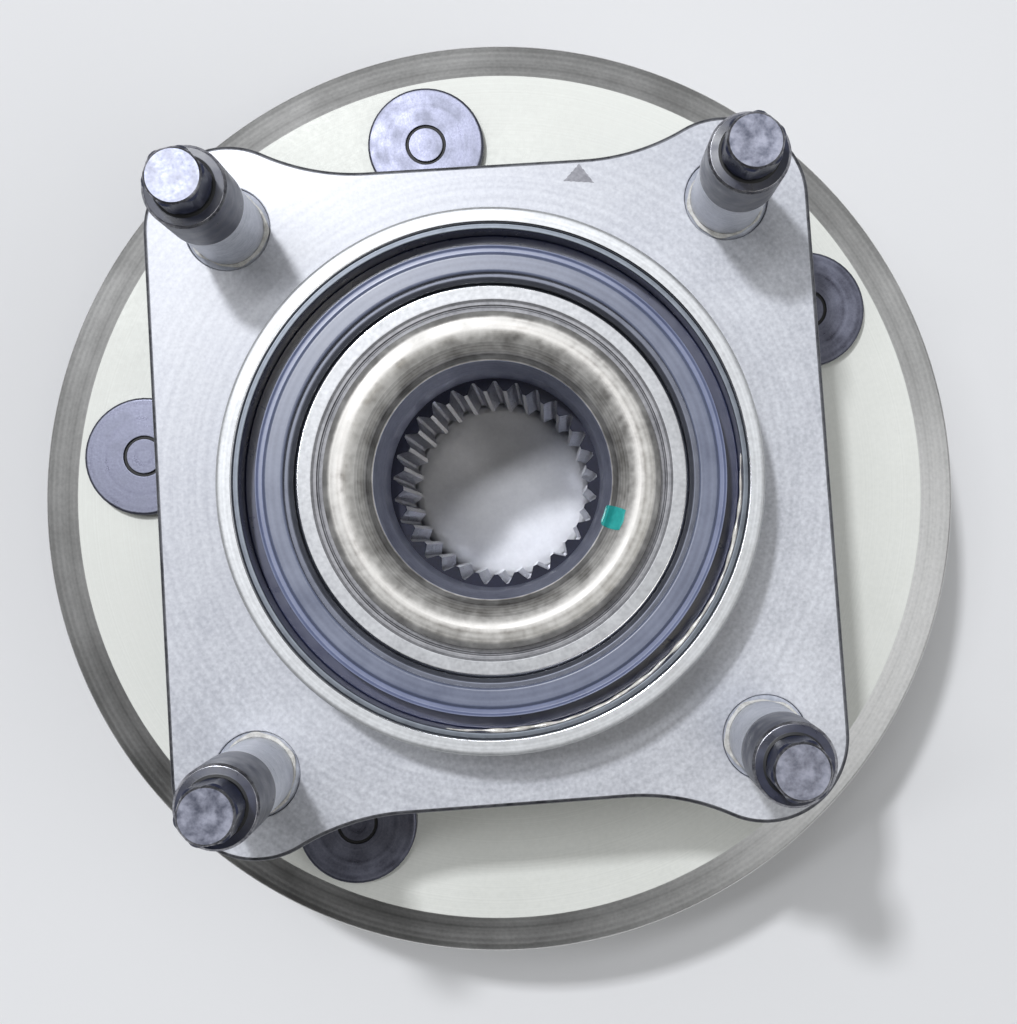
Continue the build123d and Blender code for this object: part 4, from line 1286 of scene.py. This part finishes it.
@dataclass
class KnuckleStuds:
    """The four knuckle studs with their hexagonal drive ends, made once and repeated.

    Attributes:
        head: Radius and thickness of the head behind the plate.
        knurl: Radius of the knurl.
        shank: Radius of the bare shank.
        black: Radius of the coated upper section.
        black_z: Heights of its lower and upper end.
        neck: Radius of the recess under the drive.
        flats: Width across the flats of the drive.
        face: Radius of the drive's end face.
        blunt: Depth turned off the drive's corners.
        turns: Angle of each stud's drive, in degrees, by the signs of its place.
    """

    head: Pair = (8.3, 4.5)
    knurl: float = 5.9
    shank: float = 5.05
    black: float = 5.25
    black_z: Pair = (105.5, 118.6)
    neck: float = 3.62
    flats: float = 7.0
    face: float = 3.3
    blunt: float = 0.22
    turns: dict[tuple[int, int], float] = field(default_factory=lambda: {
        (1, 1): 16.5, (1, -1): 6.0, (-1, -1): 7.0, (-1, 1): 10.0})

    def drive(self, z: float, cap: float, count: int) -> list[Point]:
        """Loop round the hexagonal drive.

        Args:
            z: Height.
            cap: Radius that a turned chamfer leaves.
            count: Points round the loop.

        Returns:
            The loop.
        """
        loop = []
        for k in range(count):
            a = 2 * math.pi * k / count
            off = (a + math.pi / 6) % (math.pi / 3) - math.pi / 6
            r = min(self.flats / 2 / math.cos(math.pi / 6 - abs(off)), cap)
            loop.append((r * math.cos(a), r * math.sin(a), z))
        return loop

    def mesh(self) -> bpy.types.Mesh:
        """Mesh of one stud about its own axis."""
        stud = Piece("knuckle_stud", ())
        count = 96
        under, top = PLATE_TOP_Z - PLATE_T - GAP, Box.of("knuckle_stud_1").high.z
        corner = self.flats / math.sqrt(3) - self.blunt
        low, high = self.black_z
        head_r, head_t = self.head
        loops: list[list[Point]] = []
        zones: list[int] = []
        # Zone 3, the coat's rounded lip and chamfers, is worn bare and a painted highlight.
        profile = outline([
            (0.4, under - head_t, 0, 1), (head_r, under - head_t, 0.8, 1), (head_r, under, 0.2, 1),
            (self.knurl, under, 0, 1), (self.knurl, PLATE_TOP_Z - 0.6, 0.2, 0),
            (self.shank, PLATE_TOP_Z - GAP, 0.05, 0),
            (self.shank, low - 0.35, 0.05, 4), (self.shank - 0.25, low - 0.3, 0, 4), (self.shank - 0.25, low, 0, 3),
            (self.black, low, 0.12, 3), (self.black, low + 0.22, 0, 1), (self.black, high - 0.35, 0, 3),
            (self.black - 0.3, high, 0.1, 1), (self.neck + 0.35, high + 0.1, 0.1, 4), (self.neck, high + 0.2, 0, 4),
            (self.neck, high + 1.1, 0, 1)], False, 0.08)
        for r, z, zone in profile:
            loops.append(circle(r, z, count))
            zones.append(zone)
        foot = high + 1.35
        chamfer = corner - self.face
        for z, cap, zone in ((foot, corner - 0.25, 1), (foot + 0.3, corner, 1), (top - chamfer, corner, 1),
                             (top - chamfer / 2, corner - chamfer / 2, 3), (top - 0.12, self.face + 0.1, 3),
                             (top, self.face - 0.05, 2), (top, self.face * 0.8, 2)):
            loops.append(self.drive(z, cap, count))
            zones.append(zone)
        crown = circle(0.4, top - 0.06, count)
        stud.join([*loops, crown], zones)
        stud.fill([crown], 2)
        stud.fill([circle(0.4, under - head_t, count)], 1)
        return mark(stud.mesh(), PLATE_TOP_Z * MM)

    def build(self) -> bpy.types.Object:
        """Repeats the stud at its places."""
        # Zone 4, the recesses under the coated section and under the drive, is painted shade.
        finishes = (SHANK_ZINC, BLUED_STEEL, DRIVE_FACE, WORN_EDGE_AND_HIGHLIGHT, RECESS_PAINTED_SHADE)
        turns = [math.radians(self.turns[(1 if x > 0 else -1, 1 if y > 0 else -1)]) for x, y in KNUCKLE_STUDS]
        made = AtPlaces("knuckle_stud_places", finishes).copies(self.mesh(), KNUCKLE_STUDS, turns)
        return place_object("knuckle_studs", made, "outer_ring", "knuckle_stud_steel", *named("knuckle_stud_"))


@dataclass
class BoreCap:
    """Pressed cap that closes the outboard end of the bore.

    Attributes:
        sheet: Thickness of the sheet.
        skirt: Height of the skirt.
        corner: Radius of the drawn corner.
        shoulder: Radius where the flat face starts to fall away, and its fall at the corner.
    """

    sheet: float = 1.2
    skirt: float = 4.0
    corner: float = 0.7
    shoulder: Pair = (13.2, 0.06)

    def build(self) -> bpy.types.Object:
        """Builds the cap."""
        box = Box.of("bore_cap")
        radius, top = box.radius, box.high.z
        flat, fall = self.shoulder
        cap = Piece("bore_sheet_cap", (CAP_SHEET,))
        cap.turn([
            (0.5, top - self.sheet), (radius - self.sheet, top - self.sheet - fall, 0.4),
            (radius - self.sheet, top - self.skirt, 0.2), (radius, top - self.skirt, 0.2),
            (radius, top - fall, self.corner), (flat, top, 3.0), (0.5, top)], False)
        cap.fill([circle(0.5, top, TURNED_COUNT)], 0)
        cap.fill([circle(0.5, top - self.sheet, TURNED_COUNT)], 0)
        return cap.build("hub", "cap_steel", "bore_cap")


# --- marks of making and handling ---------------------------------------------------------------------

@dataclass
class Marks:
    """Paint dab, rubbed patch, sealant rings and grease bead.

    Attributes:
        dab: Place of the paint dab.
        dab_size: Its length and width.
        dab_turn: Its angle in degrees.
        dab_drop: How far below the ring's face it can reach.
        film: Thickness of the dab in its middle and at its edge.
        patch: Corners of the rubbed patch on the plate.
        patch_lift: Its height above the plate.
        sealant: Inner radius, outer radius and height of the sealant rings.
        bead: Start and sweep of the grease bead in degrees, and its steps.
        bead_inset: Its distance inside the case's outer face and below its rim.
        bead_half: Half of its width.
    """

    dab: Pair = (15.6, -6.15)
    dab_size: Pair = (2.7, 3.0)
    dab_turn: float = -21.4
    dab_drop: float = 1.4
    film: Pair = (0.05, 0.004)
    patch: tuple[Pair, ...] = ((14.6, 43.9), (12.3, 41.6), (16.5, 41.1))
    patch_lift: float = 0.02
    sealant: tuple[float, float, float] = (5.0, 5.5, 0.22)
    bead: tuple[float, float, int] = (-104.0, 106.0, 420)
    bead_inset: Pair = (0.92, 1.0)
    bead_half: float = 0.30

    def paint(self) -> bpy.types.Object:
        """Builds the paint dab, laid over the mouth of the bore."""
        profile = [(r, z) for r, z, _ in outline(Spindle().collar(), False)]
        floor, (thick, thin) = INNER.high.z - self.dab_drop, self.film
        rising = [p for p in profile if p[1] > floor]
        piece = Piece("paint_dab", (MARKER_PAINT,))
        steps = 28
        turn = Matrix.Rotation(math.radians(self.dab_turn), 2)
        rows: list[list[Point]] = []
        for i in range(steps + 1):
            rows.append([])
            for j in range(steps + 1):
                u, v = 2 * i / steps - 1, 2 * j / steps - 1
                round_off = 1 - 0.10 * (u * u * v * v) + 0.03 * math.sin(5 * v + 2 * u)
                spot = turn @ Vector((u * self.dab_size[0] / 2 * round_off, v * self.dab_size[1] / 2 * round_off))
                x, y = self.dab[0] + spot.x, self.dab[1] + spot.y
                r = math.hypot(x, y)
                z = max(self.level(rising, r + d, floor) for d in (-0.15, 0.0, 0.15))
                edge = max(abs(u), abs(v)) ** 8
                rows[-1].append((x, y, z + thick * (1 - edge) + thin))
        piece.join(rows, [0] * len(rows), rings=False)
        return piece.build("hub", "flange_steel")

    @staticmethod
    def level(profile: Sequence[Pair], r: float, floor: float) -> float:
        """Height of the upper surface of an outline at a radius.

        Args:
            profile: Radius and height of its points.
            r: Radius.
            floor: Least height.

        Returns:
            The height.
        """
        best = floor
        for (r0, z0), (r1, z1) in zip(profile, profile[1:]):
            if min(r0, r1) <= r <= max(r0, r1) and abs(r1 - r0) > 1e-6:
                best = max(best, z0 + (z1 - z0) * (r - r0) / (r1 - r0))
        return best

    def rub(self) -> bpy.types.Object:
        """Builds the rubbed patch, a film on the plate."""
        piece = Piece("rubbed_patch", (RUB_MARK,))
        corners = [Vector(p) for p in self.patch]
        centre = sum(corners, Vector((0.0, 0.0))) / 3
        rim = []
        steps = 12
        for i, corner in enumerate(corners):
            ahead = corners[(i + 1) % len(corners)]
            for k in range(steps):
                spot = corner.lerp(ahead, k / steps)
                wobble = 1 + 0.05 * math.sin(9.0 * k / steps * math.pi + i)
                rim.append(centre + (spot - centre) * wobble)
        z = PLATE_TOP_Z + self.patch_lift
        loops = [[(centre.x + (p.x - centre.x) * share, centre.y + (p.y - centre.y) * share, z) for p in rim]
                 for share in (1.0, 0.66, 0.33, 0.0)]
        piece.join(loops, [0] * len(loops))
        return piece.build("outer_ring", "ring_steel")

    def sealant_rings(self) -> bpy.types.Object:
        """Builds the rings of sealant round the knuckle studs."""
        inner, outer, rise = self.sealant
        source = Piece("sealant_ring", ())
        count = 96
        loops = []
        shape = ((inner, 0.02), (inner + 0.12, rise), (inner + 0.5, rise * 0.75), (outer - 0.3, rise * 0.55),
                 (outer, 0.02))
        for r, z in shape:
            loops.append([])
            for k in range(count):
                a = 2 * math.pi * k / count
                wave = 0.22 * math.sin(2 * a + 0.6) + 0.13 * math.sin(5 * a) + 0.07 * math.sin(11 * a + 1.0)
                reach = r + wave * (r - inner) / (outer - inner)
                loops[-1].append((reach * math.cos(a), reach * math.sin(a), PLATE_TOP_Z + z))
        source.join(loops, [0] * len(loops))
        made = AtPlaces("sealant_places", (SEALANT,)).copies(
            mark(source.mesh(), PLATE_TOP_Z * MM), KNUCKLE_STUDS, [0.4 + 1.7 * k for k in range(len(KNUCKLE_STUDS))])
        return place_object("sealant_rings", made, "outer_ring", "seal_rubber")

    def grease(self) -> bpy.types.Object:
        """Builds the thin wavy bead of grease along the case's rim."""
        case = Box.of("seal_case_inboard")
        start, sweep, steps = self.bead
        radius, top = case.radius - self.bead_inset[0], case.high.z - self.bead_inset[1]
        piece = Piece("grease_bead", (GREASE,))
        across = 6
        loops = []
        for k in range(across + 1):
            side = math.pi * (k / across - 0.5)
            loops.append([])
            for i in range(steps + 1):
                share = i / steps
                a = math.radians(start + sweep * share)
                thick = max(0.02, self.bead_half * min(1.0, 8 * share, 8 * (1 - share)) ** 0.5 * (
                    0.75 + 0.35 * math.sin(23 * a) * math.sin(7.1 * a + 1.0) + 0.2 * math.sin(61 * a)))
                r = radius + 0.10 * math.sin(9 * a) + 0.05 * math.sin(31 * a) + thick * math.sin(side)
                loops[-1].append((r * math.cos(a), r * math.sin(a), top + thick * 0.7 * math.cos(side)))
        piece.join(loops, [0] * len(loops), rings=False)
        return piece.build("outer_ring", "seal_rubber")


# --- studio -------------------------------------------------------------------------------------------

AIM_Z = 0.09               # metres, height that the lamps point at


@dataclass(frozen=True)
class Lamp:
    """One rectangular soft lamp that points at the object.

    Attributes:
        name: Name of the lamp.
        place: Its place in metres.
        size: Its length and width in metres.
        along: Direction of its length in plan, in degrees.
        power: Its power in watts.
        tint: Its colour.
    """

    name: str
    place: Point
    size: Pair
    along: float
    power: float
    tint: str

    def hang(self) -> None:
        """Adds the lamp to the scene."""
        data = bpy.data.lights.new(self.name, "AREA")
        data.shape = "RECTANGLE"
        data.size, data.size_y = self.size
        data.energy = self.power
        data.color = linear(self.tint)[:3]
        made = bpy.data.objects.new(self.name, data)
        bpy.context.scene.collection.objects.link(made)
        away = (Vector(self.place) - Vector((0.0, 0.0, AIM_Z))).normalized()
        turn = math.radians(self.along)
        length = Vector((math.cos(turn), math.sin(turn), 0.0))
        length = (length - away * length.dot(away)).normalized()
        axes = Matrix((length, away.cross(length), away)).transposed().to_4x4()
        made.matrix_world = Matrix.Translation(self.place) @ axes


@dataclass
class Studio:
    """Camera, lamps, world and floor.

    Attributes:
        eye: Place of the camera in metres.
        angles: Turns of the camera about X, Y and Z, in degrees.
        lens: Focal length for a 36 mm wide frame.
        shift: Sideways and upward shift that frames the off-centre object.
        lamps: The lamps.
        sky: Height and level of the surround's stops, from the nadir up.
        spots: Direction, outer and inner half angle and factor of the dark card, the bright panel and the pale wall.
        tone: Colour of the surround.
        strength: Its strength.
        floor: Colour of the floor.
        backdrop: Colour behind it, seen straight only.
    """

    eye: Point = (0.007013, -0.008484, 0.345004)
    angles: Point = (4.0717, -2.2806, -3.744)
    lens: float = 65.487
    shift: Pair = (-0.10419, -0.10696)
    lamps: tuple[Lamp, ...] = (
        Lamp("key", (-0.203, 0.370, 1.2), (0.06, 0.06), 0.0, 6.8, "#F9FBFF"),
        Lamp("tube", (-0.200, 0.200, 1.2), (0.50, 0.07), 24.0, 2.65, "#F9FBFF"),
        Lamp("fill", (0.215, -0.190, 1.2), (0.24, 0.24), 0.0, 0.8, "#FFFBF0"))
    sky: tuple[Pair, ...] = ((0.0, 0.10), (0.40, 0.12), (0.66, 0.46), (0.82, 0.44), (0.92, 0.18), (1.0, 0.18))
    spots: tuple[tuple[Point, float, float, float], ...] = (
        ((-0.36, -0.56, 0.75), 42.0, 18.0, 0.12), ((0.66, -0.24, 0.71), 36.0, 10.0, 3.4),
        ((-0.47, 0.47, 0.75), 48.0, 22.0, 1.6))
    tone: Point = (0.96, 0.98, 1.0)
    strength: float = 0.9
    floor: str = "#ECECED"
    backdrop: str = "#C9CBCF"

    def camera(self) -> None:
        """Makes the camera and sets it active."""
        data = bpy.data.cameras.new("camera")
        data.sensor_fit = "HORIZONTAL"
        data.sensor_width = 36.0
        data.lens = self.lens
        data.shift_x, data.shift_y = self.shift
        data.clip_start = 0.01
        made = bpy.data.objects.new("camera", data)
        bpy.context.scene.collection.objects.link(made)
        x, y, z = (math.radians(a) for a in self.angles)
        turn = Matrix.Rotation(x, 4, "X") @ Matrix.Rotation(y, 4, "Y") @ Matrix.Rotation(z, 4, "Z")
        made.matrix_world = Matrix.Translation(self.eye) @ turn
        bpy.context.scene.camera = made

    def world(self) -> None:
        """Soft surround: a pale band at mid height, dimmed by the card and raised by the panel and the wall."""
        made = bpy.data.worlds.new("studio")
        made.use_nodes = True
        tree = made.node_tree
        tree.nodes.clear()
        where = add(tree, "ShaderNodeTexCoord").outputs["Generated"]
        height = add(tree, "ShaderNodeSeparateXYZ", {0: where}).outputs[2]
        ramp = add(tree, "ShaderNodeValToRGB", {0: height})
        while len(ramp.color_ramp.elements) < len(self.sky):
            ramp.color_ramp.elements.new(0.5)
        for stop, (place, level) in zip(ramp.color_ramp.elements, self.sky):
            stop.position = place
            stop.color = (*(level * share for share in self.tone), 1.0)
        level = ramp.outputs[0]
        for aim, wide, narrow, share in self.spots:
            near = add(tree, "ShaderNodeVectorMath", {0: where, 1: tuple(Vector(aim).normalized())},
                       operation="DOT_PRODUCT").outputs["Value"]
            part = add(tree, "ShaderNodeMapRange", {0: near, 1: math.cos(math.radians(wide)),
                                                    2: math.cos(math.radians(narrow)), 3: 1.0, 4: share},
                       interpolation_type="SMOOTHSTEP").outputs[0]
            level = add(tree, "ShaderNodeVectorMath", {0: level, 3: part}, operation="SCALE").outputs[0]
        soft = add(tree, "ShaderNodeBackground", {0: level, 1: self.strength})
        backdrop = add(tree, "ShaderNodeBackground", {0: linear(self.backdrop), 1: 1.0})
        seen = add(tree, "ShaderNodeLightPath").outputs["Is Camera Ray"]
        mixed = add(tree, "ShaderNodeMixShader", {0: seen, 1: soft.outputs[0], 2: backdrop.outputs[0]})
        add(tree, "ShaderNodeOutputWorld", {0: mixed.outputs[0]})
        bpy.context.scene.world = made

    def ground(self) -> None:
        """Plain pale floor under the stud tips."""
        mesh = bpy.data.meshes.new("floor")
        reach, drop = 3.0, -0.0002
        corners = [(x * reach, y * reach, drop) for x, y in ((-1, -1), (1, -1), (1, 1), (-1, 1))]
        mesh.from_pydata(corners, [], [(0, 1, 2, 3)])
        made = bpy.data.objects.new("floor", mesh)
        bpy.context.scene.collection.objects.link(made)
        paint = bpy.data.materials.new("matte_studio_floor")
        paint.use_nodes = True
        tree = paint.node_tree
        tree.nodes.clear()
        matte = add(tree, "ShaderNodeBsdfDiffuse", {0: linear(self.floor)})
        add(tree, "ShaderNodeOutputMaterial", {0: matte.outputs[0]})
        mesh.materials.append(paint)

    def build(self) -> None:
        """Sets up the whole studio."""
        self.camera()
        for lamp in self.lamps:
            lamp.hang()
        self.world()
        self.ground()
        bpy.context.scene.view_settings.view_transform = "Standard"
        log.info("studio: camera, three lamps, world and floor")


def main() -> None:
    """Builds the sub-assemblies in order."""
    logging.basicConfig(level=logging.INFO, format="%(name)s: %(message)s")
    Studio().build()
    KnuckleRing().build()
    Spindle().build()
    InnerRing().build()
    CassetteSeal().build()
    WheelEndSeal().build()
    BallRows().dress()
    WheelStuds().build()
    KnuckleStuds().build()
    BoreCap().build()
    marks = Marks()
    marks.paint()
    marks.rub()
    marks.sealant_rings()
    marks.grease()


if __name__ == "__main__":
    main()
